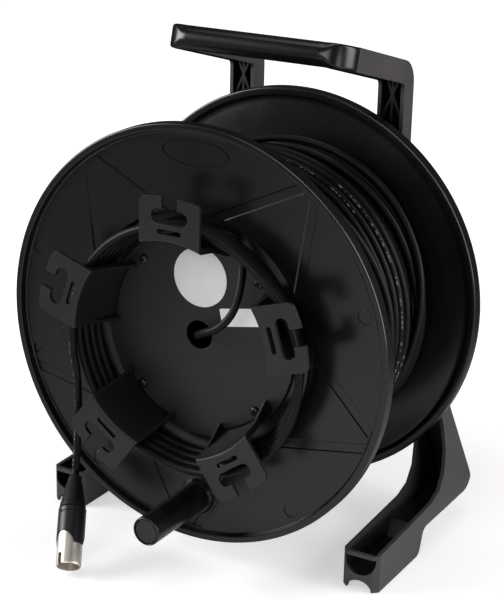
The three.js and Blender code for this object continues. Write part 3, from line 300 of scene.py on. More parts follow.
moulded, scratched, printed = makeMouldedGroup(), makeScratchGroup(), makePrintGroup()
metallic = {"metallic": 1, "grain": 2600, "bump": 0.12, "depth": 0.00006, "dust": 0.05}
finishes = {   # scratches: scale, amount, added roughness
    "framePlastic": {"base": (0.050, 0.044, 0.050, 1), "worn": (0.090, 0.080, 0.089, 1), "rough": (0.42, 0.58),
                     "grain": 1300, "bump": 0.30, "depth": 0.00018, "dust": 0.28, "scratches": (55, 0.22, 0.35),
                     # painted shade colour for the faces deep in the open channels
                     "cavity": (0.003, 0.003, 0.003, 1)},
    "flangePlastic": {"base": (0.0045, 0.0045, 0.0055, 1), "worn": (0.010, 0.010, 0.012, 1), "rough": (0.21, 0.30),
                      "grain": 1700, "bump": 0.16, "depth": 0.00010, "dust": 0.07, "scratches": (55, 0.16, 0.35)},
    "gripPlastic": {"base": (0.004, 0.004, 0.005, 1), "worn": (0.010, 0.010, 0.011, 1), "rough": (0.22, 0.32),
                    "grain": 1500, "bump": 0.12, "depth": 0.00010, "dust": 0.12, "scratches": (55, 0.2, 0.35)},
    "holderPlastic": {"base": (0.007, 0.007, 0.0085, 1), "worn": (0.016, 0.016, 0.019, 1), "rough": (0.34, 0.46),
                      "grain": 1500, "bump": 0.22, "depth": 0.00014, "dust": 0.16, "scratches": (55, 0.16, 0.35)},
    "cableJacket": {"base": (0.003, 0.003, 0.004, 1), "worn": (0.009, 0.009, 0.010, 1), "rough": (0.36, 0.5),
                    "grain": 1900, "bump": 0.25, "depth": 0.00012, "dust": 0.2, "specular": 0.19, "printed": 0.3},
    "bootRubber": {"base": (0.004, 0.004, 0.005, 1), "worn": (0.010, 0.010, 0.011, 1), "rough": (0.45, 0.62),
                   "grain": 1600, "bump": 0.3, "depth": 0.00015, "dust": 0.3, "specular": 0.3},
    "nickelPlate": {**metallic, "base": (0.90, 0.85, 0.76, 1), "worn": (0.72, 0.67, 0.59, 1), "rough": (0.36, 0.5),
                    "scratches": (170, 0.25, 0.3)},
    "zincSteel": {**metallic, "base": (0.50, 0.50, 0.51, 1), "worn": (0.33, 0.33, 0.34, 1), "rough": (0.3, 0.5),
                  "scratches": (170, 0.4, 0.3)},
    "blackSteel": {**metallic, "base": (0.035, 0.035, 0.037, 1), "worn": (0.16, 0.16, 0.16, 1), "rough": (0.3, 0.45),
                   "scratches": (170, 0.3, 0.3)},
    "bronzeBush": {**metallic, "base": (0.42, 0.27, 0.12, 1), "worn": (0.28, 0.18, 0.09, 1), "rough": (0.4, 0.6),
                   "scratches": (170, 0.2, 0.3)},
}


def finishOf(name):
    s = finishes[name]
    material, tree, shader = newMaterial(name, Specular_IOR_Level=s.get("specular", 0.5), Metallic=s.get("metallic", 0))
    surface = useGroup(tree, moulded, Base=s["base"], Worn=s["worn"], Grain_Scale=s["grain"],
                       Rough_Low=s["rough"][0], Rough_High=s["rough"][1], Dust=s["dust"])
    colour, rough = surface.outputs["Color"], surface.outputs["Roughness"]
    if "scratches" in s:
        scale, amount, dulled = s["scratches"]
        marks = useGroup(tree, scratched, Scale=scale, Amount=amount).outputs["Mask"]
        colour = mixColour(tree, marks, colour, s["worn"])
        rough = mathNode(tree, "ADD", rough, times(tree, marks, dulled), True)
    if "printed" in s:
        line = useGroup(tree, printed, Amount=s["printed"]).outputs["Mask"]
        colour = mixColour(tree, line, colour, (0.62, 0.62, 0.60, 1))
    if "cavity" in s:      # painted shade: faces deep in the open channels gather no light and take a near-black colour
        cavity = tree.nodes.new("ShaderNodeAttribute")
        cavity.attribute_name = "cavity"
        colour = mixColour(tree, cavity.outputs["Fac"], colour, s["cavity"])
    tree.links.new(colour, shader.inputs["Base Color"])
    tree.links.new(rough, shader.inputs["Roughness"])
    bumpFrom(tree, shader, surface.outputs["Height"], s["bump"], s["depth"])
    return material


def labelPaper():
    material, tree, shader = newMaterial("labelPaper", Specular_IOR_Level=0.4)
    where = tree.nodes.new("ShaderNodeTexCoord").outputs["Object"]
    fibre = noiseNode(tree, where, 900, 4)
    smudge = noiseNode(tree, where, 60, 4)
    colour = mixColour(tree, rangeNode(tree, smudge, 0.45, 0.8, 0, 0.5), (0.86, 0.86, 0.85, 1), (0.76, 0.76, 0.74, 1))
    tree.links.new(colour, shader.inputs["Base Color"])
    tree.links.new(rangeNode(tree, fibre, 0.3, 0.7, 0.4, 0.55), shader.inputs["Roughness"])
    bumpFrom(tree, shader, fibre, 0.08, 0.00005)
    return material


materials = {name: finishOf(name) for name in finishes}
materials["labelPaper"] = labelPaper()
print("materials:", ", ".join(materials))


# Modelling steps used by several pieces
def onlySelect(piece):
    if bpy.context.object and bpy.context.object.mode == "EDIT":
        bpy.ops.object.mode_set(mode="OBJECT")
    bpy.ops.object.select_all(action="DESELECT")
    if piece:
        piece.select_set(True)
        bpy.context.view_layer.objects.active = piece


def drawLine(name, points):
    onlySelect(None)
    bpy.ops.mesh.primitive_plane_add(size=mm, location=points[0])
    piece = bpy.context.object
    piece.name = name
    bpy.ops.object.mode_set(mode="EDIT")
    bpy.ops.mesh.select_all(action="SELECT")
    bpy.ops.mesh.merge(type="CENTER")
    for before, after in zip(points, points[1:]):
        bpy.ops.mesh.extrude_vertices_move(TRANSFORM_OT_translate={"value": Vector(after) - Vector(before)})
    bpy.ops.mesh.select_all(action="SELECT")
    bpy.ops.mesh.remove_doubles(threshold=1e-6)
    return piece


def leaveEdit(piece):
    bpy.ops.mesh.select_all(action="SELECT")
    bpy.ops.mesh.remove_doubles(threshold=2e-6)
    bpy.ops.mesh.normals_make_consistent(inside=False)
    bpy.ops.object.mode_set(mode="OBJECT")
    onlySelect(piece)
    bpy.ops.object.transform_apply(location=True, rotation=True, scale=True)
    return piece


def closedUp(piece):
    onlySelect(piece)
    bpy.ops.object.mode_set(mode="EDIT")
    return leaveEdit(piece)


def turned(name, profile, centre=None, steps=96, angle=360, start=0):
    centre = place(0, 0, 0) if centre is None else centre
    points = []
    for radius, y in profile:
        x, z = polar(radius, start)
        points.append(centre + Vector((x, y, z)) * mm)
    piece = drawLine(name, points)
    bpy.ops.mesh.spin(steps=steps, angle=math.radians(angle), center=centre, axis=(0, 1, 0))
    return leaveEdit(piece)


def rounded(corners, steps=6):
    points = []
    for i, corner in enumerate(corners):
        x, y, radius = (*corner, 0)[:3]
        here = Vector((x, y))
        if not radius:
            points.append(here)
            continue
        before = (Vector(corners[i - 1][:2]) - here).normalized()
        after = (Vector(corners[(i + 1) % len(corners)][:2]) - here).normalized()
        half = before.angle(after) / 2
        centre = here + (before + after).normalized() * radius / math.sin(half)
        first = here + before * radius / math.tan(half) - centre
        last = here + after * radius / math.tan(half) - centre
        swing = math.atan2(first.x * last.y - first.y * last.x, first.dot(last))
        for k in range(steps + 1):
            points.append(centre + Matrix.Rotation(swing * k / steps, 2) @ first)
    return points


def ellipse(width, height, x, z, count):
    return [Vector((x + width * math.cos(math.tau * k / count), z + height * math.sin(math.tau * k / count)))
            for k in range(count)]


def extruded(name, points, shift):
    piece = drawLine(name, [*points, points[0]])
    bpy.ops.mesh.edge_face_add()
    bpy.ops.mesh.extrude_region_move(TRANSFORM_OT_translate={"value": Vector(shift) * mm})
    return leaveEdit(piece)


def slab(name, outline, front, rear):
    return extruded(name, [place(point[0], front, point[1]) for point in outline], (0, rear - front, 0))


def sideSlab(name, outline, left, right):
    return extruded(name, [place(left, *point) for point in outline], (right - left, 0, 0))


def block(size, middle, turn=0):     # a cube stretched to its size and turned about Y
    onlySelect(None)
    bpy.ops.mesh.primitive_cube_add(size=mm, location=Vector(middle) * mm)
    piece = bpy.context.object
    bpy.ops.object.mode_set(mode="EDIT")
    bpy.ops.transform.resize(value=size)
    bpy.ops.object.mode_set(mode="OBJECT")
    piece.rotation_euler = (0, math.radians(turn), 0)
    bpy.ops.object.transform_apply(location=True, rotation=True, scale=True)
    return piece


def lofted(name, points, sides):     # rings of equal size, one after another, closed at both ends
    rings = len(points) // sides
    faces = []
    for i in range(rings - 1):
        for k in range(sides):
            a, b = i * sides + k, i * sides + (k + 1) % sides
            faces.append((a, b, b + sides, a + sides))
    faces.append(tuple(reversed(range(sides))))
    faces.append(tuple((rings - 1) * sides + k for k in range(sides)))
    mesh = bpy.data.meshes.new(name)
    mesh.from_pydata(points, [], faces)
    piece = bpy.data.objects.new(name, mesh)
    bpy.context.collection.objects.link(piece)
    return piece


def combine(piece, others, operation="DIFFERENCE"):
    for other in others:
        step = piece.modifiers.new("combine", "BOOLEAN")
        step.object = other
        step.operation = operation
        step.solver = "EXACT"
        onlySelect(piece)
        bpy.ops.object.modifier_apply(modifier=step.name)
        bpy.data.objects.remove(other)
    return piece


def soften(piece, width, segments=2, angle=28, shade=35):
    onlySelect(piece)
    bpy.ops.object.mode_set(mode="EDIT")       # short stray edges would stop the bevel
    bpy.ops.mesh.select_all(action="SELECT")
    bpy.ops.mesh.remove_doubles(threshold=0.45 * width * mm)
    bpy.ops.mesh.dissolve_degenerate(threshold=0.1 * width * mm)
    bpy.ops.object.mode_set(mode="OBJECT")
    step = piece.modifiers.new("edge", "BEVEL")
    step.width = width * mm
    step.segments = segments
    step.limit_method = "ANGLE"
    step.angle_limit = math.radians(angle)
    step.use_clamp_overlap = True
    onlySelect(piece)
    bpy.ops.object.modifier_apply(modifier=step.name)
    bpy.ops.object.shade_smooth_by_angle(angle=math.radians(shade))
    flat = piece.modifiers.new("flatFaces", "WEIGHTED_NORMAL")
    flat.keep_sharp = True
    flat.weight = 80
    bpy.ops.object.modifier_apply(modifier=flat.name)
    return piece


def copyOf(node, name):
    piece = bpy.data.objects.new(name, nodes[node].data.copy())
    bpy.context.collection.objects.link(piece)
    piece.data.materials.clear()
    onlySelect(piece)
    bpy.ops.object.mode_set(mode="EDIT")
    bpy.ops.mesh.select_all(action="SELECT")
    bpy.ops.mesh.remove_doubles(threshold=1e-5)
    bpy.ops.mesh.dissolve_limited(angle_limit=math.radians(0.6), use_dissolve_boundaries=False)
    bpy.ops.object.mode_set(mode="OBJECT")
    return piece


def twinOf(piece, name, matrix):
    twin = bpy.data.objects.new(name, piece.data.copy())
    bpy.context.collection.objects.link(twin)
    twin.data.transform(matrix)
    return twin


def dress(piece, material, slotName, *stoodFor, body="drum"):
    piece.data.materials.clear()
    piece.data.materials.append(materials[material])
    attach(piece, body)
    if stoodFor:
        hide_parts(*stoodFor)


# Cable
cable = {"diameter": 6.0, "sides": 12, "spacing": 2.6}


def smoothLine(points, spacing):
    line = []
    points = [Vector(p) for p in points]
    for i in range(len(points) - 1):
        p1, p2 = points[i], points[i + 1]
        p0 = points[i - 1] if i else p1 * 2 - p2
        p3 = points[i + 2] if i + 2 < len(points) else p2 * 2 - p1
        t1 = max((p1 - p0).length, 1e-6) ** 0.5
        t2 = t1 + max((p2 - p1).length, 1e-6) ** 0.5
        t3 = t2 + max((p3 - p2).length, 1e-6) ** 0.5
        count = max(1, round((p2 - p1).length / spacing))
        for k in range(count):
            t = t1 + (t2 - t1) * k / count
            a1 = p0 * (t1 - t) / t1 + p1 * t / t1
            a2 = p1 * (t2 - t) / (t2 - t1) + p2 * (t - t1) / (t2 - t1)
            a3 = p2 * (t3 - t) / (t3 - t2) + p3 * (t - t2) / (t3 - t2)
            b1 = a1 * (t2 - t) / t2 + a2 * t / t2
            b2 = a2 * (t3 - t) / (t3 - t1) + a3 * (t - t1) / (t3 - t1)
            line.append(b1 * (t2 - t) / (t2 - t1) + b2 * (t - t1) / (t2 - t1))
    return [*line, points[-1]]


def cableTube(name, line, up, towards):
    radius, sides = cable["diameter"] / 2 * mm, cable["sides"]
    points, maps = [], []
    side = Vector(up)
    along, turn = 0, 0
    for i, point in enumerate(line):
        tangent = (line[min(i + 1, len(line) - 1)] - line[max(i - 1, 0)]).normalized()
        side = (side - tangent * side.dot(tangent)).normalized()
        other = tangent.cross(side)
        along += (point - line[i - 1]).length if i else 0
        facing = towards(along, point)
        wanted = 0.5 - math.atan2(facing.dot(other), facing.dot(side)) / math.tau
        turn = wanted + round(turn - wanted)
        maps.append((along, turn))
        for k in range(sides):
            angle = math.tau * k / sides
            points.append(point + (side * math.cos(angle) + other * math.sin(angle)) * radius)
    piece = lofted(name, points, sides)
    layer = piece.data.uv_layers.new(name="cableMap")
    for face, polygon in enumerate(piece.data.polygons):
        i, k = divmod(face, sides)
        if i >= len(line) - 1:
            continue
        corners = ((i, k), (i, k + 1), (i + 1, k + 1), (i + 1, k))
        for loop, (ring, step) in zip(polygon.loop_indices, corners):
            layer.data[loop].uv = (maps[ring][0], step / sides + maps[ring][1])
        polygon.use_smooth = True
    return piece


def printSide(point, angle):     # a direction between outward from the axle (0) and the front (90)
    outward = point - place(0, 0, 0)
    outward.y = 0
    return outward.normalized() * math.cos(angle) + Vector((0, -1, 0)) * math.sin(angle)


coil = {"start": 76, "turns": 4.3, "back": 6.5, "pitch": 6.8, "radius": 85.5, "growth": 0.9,
        "slack": 4, "slackGrowth": 2.5, "slackAngle": -22, "steps": 72, "ends": 12}
leadRoute = [(3, 12.5, 2.2), (3, 9.5, 2.2), (3.5, 5.5, 2.8), (9, -3, 6.6), (18.2, -8.2, 11.8), (28.2, -10.5, 17),
             (36.6, -10.2, 24.6), (41.8, -8, 34.2), (43.6, -5, 45), (43, -0.5, 55.5), (40.8, 4, 65), (37.6, 6.3, 72.8)]
dropRoute = [(-85.6, -23.2, -34), (-85.6, -21.8, -62), (-87.2, -21.5, -94)]
innerRoute = [(-97.9, 40, 0), (-90, 40, 0), (-60, 40, 0), (-34, 40, 0.5), (-15, 37, 1), (-3, 30, 2), (2, 24, 2.2),
              (3, 19, 2.2), (3, 15.6, 2.2), (3, 12.4, 2.2)]
plug = {"top": (-88, -24, -122.5), "tip": (-60.2, -71.8, -170.9), "straight": 6, "sunk": 1.5}
plugTop, plugTip = Vector(plug["top"]), Vector(plug["tip"])
plugAlong = (plugTip - plugTop).normalized()


def coilPoints(s):
    points = []
    for i in range(round(s["turns"] * s["steps"]) + 1):
        turns = i / s["steps"]
        angle = s["start"] + 360 * turns
        slack = ((1 + math.cos(math.radians(angle - s["slackAngle"]))) / 2) ** 2
        radius = s["radius"] + s["growth"] * turns + (s["slack"] + s["slackGrowth"] * turns) * slack
        x, z = polar(radius, angle)
        points.append(Vector((x, s["back"] - s["pitch"] * turns, z)))
    return points


def tailLine():
    turns = coilPoints(coil)
    leadIn = turns[0] + (turns[0] - turns[1]).normalized() * coil["ends"]
    leadOut = turns[-1] + (turns[-1] - turns[-2]).normalized() * coil["ends"]
    route = [*leadRoute, leadIn, *turns, leadOut, *dropRoute, plugTop - plugAlong * plug["straight"],
             plugTop + plugAlong * plug["sunk"]]
    return [place(*point) for point in smoothLine(route, cable["spacing"])]


def tailPrint(along, point):
    return printSide(point, 1.0 + 1.1 * noise.noise(Vector((along * 2.3, 3.1, 0))))


def lengthOf(line):
    return sum((b - a).length for a, b in zip(line, line[1:]))


tail = tailLine()
tailCable = cableTube("tailCable", tail, (0, 0, 1), tailPrint)
dress(tailCable, "cableJacket", "cable_jacket", "tail_lead", "tail_coil", "tail_drop")
inner = [place(*point) for point in smoothLine(innerRoute, cable["spacing"])]
dress(cableTube("innerLead", inner, (0, 0, 1), tailPrint), "cableJacket", "cable_jacket", "inner_lead")
print(f"tail of the cable {lengthOf(tail):.3f} m")

winding = {"radius": 120.8, "rear": 146.8, "front": 15.6, "turns": 14, "steps": 96, "start": 150,
           "underRadius": 114.4, "underTurns": 19, "underFront": 17.5, "socketAngle": 222, "socketPlace": 24,
           "socketRadius": 10.2, "socketLength": 70, "gap": 0.3}
crossings = [   # turn, length in turns, sideways reach, lift
    (2.72, 0.42, 17.5, 6.3),
    (6.05, 0.36, 12.5, 6.2),
    (9.62, 0.40, 15.5, 6.2),
]


def socketFrame(s):
    reach = s["radius"] + cable["diameter"] / 2 + s["gap"] + s["socketRadius"]
    x, z = polar(reach, s["socketAngle"])
    along = Vector((-z, 0, x)).normalized()
    outward = Vector((x, 0, z)).normalized()
    return Vector((x, s["socketPlace"], z)) - along * s["socketLength"] / 2, along, outward


def windingLine(s):
    points = []
    steps = s["steps"]
    for i in range(s["underTurns"] * steps):       # lower turns, from the front to the rear
        turns = i / steps
        angle = s["start"] + 360 * turns
        y = s["underFront"] + (s["rear"] - s["underFront"]) * turns / s["underTurns"]
        y += 0.25 * noise.noise(Vector((*polar(1.5, angle), turns * 0.7)))
        x, z = polar(s["underRadius"], angle)
        points.append(Vector((x, y, z)))
    pitch = (s["rear"] - s["front"]) / s["turns"]
    for i in range(s["turns"] * steps + 1):        # upper turns, back to the front
        turns = i / steps
        angle = s["start"] + 360 * turns
        y = s["rear"] - pitch * turns * smooth(turns / 0.4)
        calm = smooth(turns / 1.2) * smooth((s["turns"] - turns) / 1.2)
        around = Vector((*polar(1, angle), 0)) * 0.9
        y += calm * 2.1 * noise.noise(around + Vector((0, 0, turns * 0.11)))
        y += calm * 1.5 * noise.noise(around * 2.3 + Vector((5, 0, turns * 0.9)))
        radius = s["underRadius"] + (s["radius"] - s["underRadius"]) * smooth(turns / 0.22)
        for where, length, aside, lift in crossings:
            near = 1 - abs(turns - where) / (length / 2)
            y += aside * smooth(near)
            radius += lift * smooth(1.55 * near)
        x, z = polar(radius, angle)
        points.append(Vector((x, y, z)))
    start, along = socketFrame(s)[:2]
    last = points[-1]
    lastAngle = math.degrees(math.atan2(last.z, last.x))
    goal = start - along * 7
    goalRadius = math.hypot(goal.x, goal.z)
    sweep = (math.degrees(math.atan2(goal.z, goal.x)) - lastAngle) % 360
    count = round(sweep / 360 * steps)
    for k in range(1, count):                      # rising to the connector that lies on the winding
        share = smooth(k / count)
        x, z = polar(s["radius"] + (goalRadius - s["radius"]) * share, lastAngle + sweep * k / count)
        points.append(Vector((x, last.y + (goal.y - last.y) * share, z)))
    points += [goal, start - along * 3, start + along * 2]
    return [place(*point) for point in points]


def windingPrint(along, point):
    wander = noise.noise(Vector((along * 1.3, 1.7, 0))) + 0.4 * noise.noise(Vector((along * 5.1, 9, 0)))
    return printSide(point, 0.45 + 1.5 * wander)


stored = windingLine(winding)
dress(cableTube("storedCable", stored, (-1, 0, 0.5), windingPrint), "cableJacket", "cable_jacket", "cable_winding")
print(f"stored cable {lengthOf(stored):.2f} m in its two outer layers")

deeper = {"inside": 98.4, "front": 10.4, "rear": 150.8, "turns": 21,
          "strand": ((0.08, 107.4), (0.3, 110.2), (0.5, 111.2), (0.7, 110.2), (0.92, 107.4))}


def makeDeeperTurns(s):
    front, rear, inside = s["front"], s["rear"], s["inside"]
    pitch = (rear - front) / s["turns"]
    strands = [(radius, front + pitch * (k + share)) for k in range(s["turns"]) for share, radius in s["strand"]]
    layers = turned("deeperTurns", [(inside, front), *strands, (inside, rear), (inside, front)], steps=96)
    bpy.ops.object.shade_smooth_by_angle(angle=math.radians(60))
    dress(layers, "bootRubber", "cable_jacket", "cable_inner_layers")


makeDeeperTurns(deeper)
print("cables")


# Plug on the tail
plugSizes = {"boot": 27, "neck": 4.6, "radius": 10.6, "tongue": 57, "arch": 47.5, "shell": 9.5, "shellWall": 1.2,
             "shellBack": 38, "insertBack": 41, "insertFront": 52, "pin": 1.2, "pinPlace": 4.75, "pinLength": 14,
             "keyway": (3.4, 10, 5)}


def alongPlug(piece):
    side = plugAlong.cross(Vector((0, 1, 0))).normalized()
    basis = Matrix((side, plugAlong, side.cross(plugAlong))).transposed().to_4x4()
    piece.data.transform(Matrix.Translation(place(*plugTop)) @ basis)
    piece.data.update()
    return piece


def makePlug(s):
    origin = Vector((0, 0, 0))
    length = (plugTip - plugTop).length
    neck, radius, shellRadius, tongue = s["neck"], s["radius"], s["shell"], s["tongue"]
    bootProfile = [(0, 0.2), (neck - 0.5, 0.2), (neck, 0.8), (neck + 0.5, 3), (5.9, 6.5), (6.9, 10.5), (7.9, 15),
                   (8.7, 19), (9.3, 22.5)]
    for k in range(3):                                # soft ribs near the boot's wide end
        crest, start = 9.75 + 0.1 * k, 23 + 1.2 * k
        bootProfile += [(9.35 + 0.2 * k, start), (crest, start + 0.4), (crest, start + 0.9)]
    bootProfile += [(10, s["boot"] - 0.6), (9.8, s["boot"]), (0, s["boot"])]
    boot = soften(turned("plugBoot", bootProfile, origin, 64), 0.15, 2, 40, 50)
    start, inside = s["boot"] + 0.3, shellRadius + 0.3
    body = turned("plugHousing", [
        (inside, start + 1.2), (radius - 0.9, start), (radius, start + 0.9), (radius, start + 4),
        (radius - 0.7, start + 4.4), (radius - 0.7, start + 5.2), (radius, start + 5.6), (radius, tongue),
        (inside, tongue), (inside, start + 1.2)], origin, 72)
    onlySelect(None)
    bpy.ops.mesh.primitive_cylinder_add(vertices=64, radius=(tongue - s["arch"]) * mm, depth=50 * mm,
                                        location=(0, tongue * mm, 0))
    combine(body, [bpy.context.object])
    soften(body, 0.22, 2, 35, 40)
    bore, back = shellRadius - s["shellWall"], s["shellBack"]
    shell = turned("plugShell", [
        (bore, back), (shellRadius, back), (shellRadius, length - 1.6), (shellRadius - 0.12, length - 0.7),
        (shellRadius - 0.5, length), (bore, length), (bore, back)], origin, 72)
    combine(shell, [block(s["keyway"], (0, length - 4, -shellRadius))])
    soften(shell, 0.12, 2, 35, 40)
    front = s["insertFront"]
    insert = turned("plugInsert", [
        (0, s["insertBack"]), (shellRadius - 1.5, s["insertBack"]), (shellRadius - 1.5, front - 0.3),
        (shellRadius - 1.8, front), (0, front)], origin, 48)
    bpy.ops.object.shade_smooth_by_angle(angle=math.radians(35))
    pins = []
    end = front + s["pinLength"]
    for k in range(3):
        x, z = polar(s["pinPlace"], 90 + 120 * k)
        pins.append(turned(f"pin{k}", [(0, front - 1), (s["pin"], front - 1), (s["pin"], end - 1.2),
                                       (s["pin"] * 0.7, end - 0.3), (0, end)], Vector((x, 0, z)) * mm, 20))
        bpy.ops.object.shade_smooth_by_angle(angle=math.radians(40))
    onlySelect(pins[0])
    for pin in pins:
        pin.select_set(True)
    bpy.ops.object.join()
    pins = pins[0]
    pins.name = "plugPins"
    dress(alongPlug(boot), "bootRubber", "cable_jacket", "plug_boot")
    dress(alongPlug(body), "holderPlastic", "grip_plastic", "plug_body")
    dress(alongPlug(shell), "nickelPlate", "nickel", "plug_shell")
    dress(alongPlug(insert), "holderPlastic", "core_plastic", "plug_insert")
    dress(alongPlug(pins), "nickelPlate", "nickel")
    return [boot, body, shell, insert, pins]


plugPieces = makePlug(plugSizes)
print("plug")


# Flanges
flange = {"radius": 160, "depth": 162.5, "skin": 3.5, "rimWidth": 5.5, "rimDepth": 9.5, "recess": 5, "round": 1.6,
          "well": 95, "wellFloor": 15.5, "wellWall": 3, "ledge": 64, "steps": 192}
zigzag = {"width": 7, "depth": 0.8, "slope": 0.9, "above": 0.5, "tip": 164, "foot": 86, "corner": 4, "ledge": 1.5,
          "angle": 53.5, "count": 5}
oval = {"place": 139, "halfWidth": 28, "halfHeight": 10, "line": 1.3, "depth": 0.7}
roundMarks = {"place": 145, "angles": (17.6, 162, 234, 306), "radius": 6}
knobPlace = polar(127, -88)
bossPlaces = [polar(69.8, 44.5 + 90 * k) for k in range(4)]


def zigzagBand(z, width):
    tip = Vector((0, z["tip"]))
    foot = Vector(polar(z["foot"], 90 - 180 / z["count"]))
    along = (foot - tip).normalized()
    aside = Vector((-along.y, along.x)) * width / 2
    shift = width / 2 / along.x
    outer, inner = foot + aside, foot - aside
    return rounded([(*outer,), (0, tip.y + shift), (-outer.x, outer.y), (-inner.x, inner.y),
                    (0, tip.y - shift, z["corner"]), (*inner,)], 8)


def zigzagCutters(s, z):
    floor = s["recess"] + z["depth"]
    mouth = zigzagBand(z, z["width"] + z["slope"] * (1 + 2 * z["above"] / z["depth"]))
    bottom = zigzagBand(z, z["width"] - z["slope"])
    near, far = s["well"] + z["ledge"], s["radius"] - s["rimWidth"] - s["round"] - 0.6
    cutters = []
    for k in range(z["count"]):
        spin = Matrix.Rotation(math.radians(z["angle"] + 360 / z["count"] * k - 90), 2)
        points = []
        for outline, y in ((mouth, s["recess"] - z["above"]), (bottom, floor)):     # sloped walls
            for point in outline:
                x, height = spin @ point
                points.append(place(x, y, height))
        cutter = closedUp(lofted("groove", points, len(mouth)))
        ring = turned("panelRing", [(near, -4), (far, -4), (far, floor + 1), (near, floor + 1), (near, -4)], steps=192)
        cutters.append(combine(cutter, [ring], "INTERSECT"))
    return cutters


def roundHole(radius, front, rear, x, z, steps):
    return turned("hole", [(0, front), (radius, front), (radius, rear), (0, rear)], place(x, 0, z), steps)


def makeFrontFlange(s):
    radius, rim, well, floor, recess = s["radius"], s["rimDepth"], s["well"], s["wellFloor"], s["recess"]
    inner = radius - s["rimWidth"]
    rear = recess + s["skin"]
    barrel = well + s["wellWall"]
    deep = floor + s["skin"]
    profile = [(s["ledge"], floor), (well - 2, floor), (well - 0.6, floor - 0.6), (well, floor - 2),
               (well, recess + 1.2), (well + 0.4, recess + 0.4), (well + 1.2, recess), (inner - 2.2, recess),
               (inner - 1.0, recess - 0.5), (inner - 0.3, recess - 1.6), (inner, 1.5), (inner + 0.45, 0.45),
               (inner + 1.5, 0), (radius - 1.5, 0), (radius - 0.45, 0.45), (radius, 1.5), (radius, rim - 0.5),
               (radius - 0.5, rim), (inner, rim), (inner - 1.6, rear), (barrel, rear), (barrel, deep),
               (s["ledge"], deep), (s["ledge"], floor)]
    piece = turned("frontFlange", profile, steps=s["steps"])
    combine(piece, zigzagCutters(s, zigzag))
    outside = ellipse(oval["halfWidth"], oval["halfHeight"], 0, oval["place"], 64)
    field = ellipse(oval["halfWidth"] - oval["line"], oval["halfHeight"] - oval["line"], 0, oval["place"], 64)
    ring = combine(slab("oval", outside, -3, recess + oval["depth"]), [slab("field", field, -5, recess + 3)])
    combine(piece, [ring])
    marks = []
    mark = roundMarks["radius"]
    for angle in roundMarks["angles"]:
        x, z = polar(roundMarks["place"], angle)
        marks.append(turned("mark", [(0, -3), (mark, -3), (mark, recess + 0.55), (mark - 0.7, recess + 0.55),
                                     (mark - 1, recess + 0.3), (0, recess + 0.3)], place(x, 0, z), 40))
    combine(piece, marks)
    boss = turned("boss", [(0, 6.5), (14.6, 6.5), (14.2, recess - 0.5), (13.4, recess - 1.6), (13, 2.5),
                           (12.6, 2), (0, 2)], place(knobPlace[0], 0, knobPlace[1]), 64)
    combine(piece, [boss], "UNION")
    holes = [roundHole(4.1, -10, 14, *knobPlace, 32)]
    combine(piece, holes + [roundHole(2.1, 0, 30, x, z, 16) for x, z in bossPlaces])
    soften(piece, 0.8, 3, 30, 32)
    dress(piece, "flangePlastic", "flange_plastic", "front_flange")


def makeRearFlange(s):
    radius, depth = s["radius"], s["depth"]
    face, inner, tube = depth - 11, radius - 6.5, (20.3, 27.3)
    profile = [(tube[0], face), (125, face), (inner - 5, face + 3.7), (inner - 2, face + 3.6),
               (inner - 0.4, face + 2.6), (inner, face + 1.5), (inner + 0.5, face + 0.45), (inner + 1.6, face),
               (radius - 1.6, face), (radius - 0.45, face + 0.45), (radius, face + 1.6), (radius, depth - 1.6),
               (radius - 0.45, depth - 0.45), (radius - 1.6, depth), (inner, depth), (inner - 4, face + 7.5),
               (125, face + 3.5), (tube[1], face + 3.5), (tube[1], depth - 1.6), (tube[0], depth - 1.6),
               (tube[0], face)]
    piece = turned("rearFlange", profile, steps=s["steps"])
    combine(piece, [roundHole(2.1, 140, 170, x, z, 16) for x, z in bossPlaces])
    soften(piece, 0.4, 2, 30, 32)
    dress(piece, "flangePlastic", "flange_plastic", "rear_flange")


makeFrontFlange(flange)
makeRearFlange(flange)
print("flanges")


# Holder of the tail: disc, five slotted arms, labels
arm = {"count": 5, "angle": 89.3, "half": 25, "foot": 74, "bend": 82.5, "reach": 115, "floor": 15.5, "front": -31,
       "skin": 3, "corner": 8, "gussetFoot": 65, "gussetEnd": -24, "slotPlace": 100.2, "slotLength": 30,
       "slotHeight": 10.8, "neck": 12.8, "slitPlace": 89.1, "slitLength": 20, "slitHeight": 3.6}
labels = {"sheet": 0.12, "radius": 22.5, "circle": (0.4, 44.5), "halfLength": 20, "halfHeight": 6.8, "corner": 0.8,
          "tilt": 11, "long": (38.1, 20.8)}


def box(left, right, low, high, corner=0):     # its two upper corners can be round
    return [(left, low), (right, low), (right, high, corner), (left, high, corner)]


def longHole(middle, length, height):
    w, h = length / 2, height / 2
    r = h * 0.99
    return rounded([(*point[:2], r) for point in box(-w, w, middle - h, middle + h)], 8)


def wallMiddle(s, y):
    radius = s["foot"] + s["skin"] / 2 + (s["bend"] - s["foot"]) * (s["floor"] - y) / (s["floor"] - s["front"])
    return math.sqrt(radius ** 2 - s["half"] ** 2)


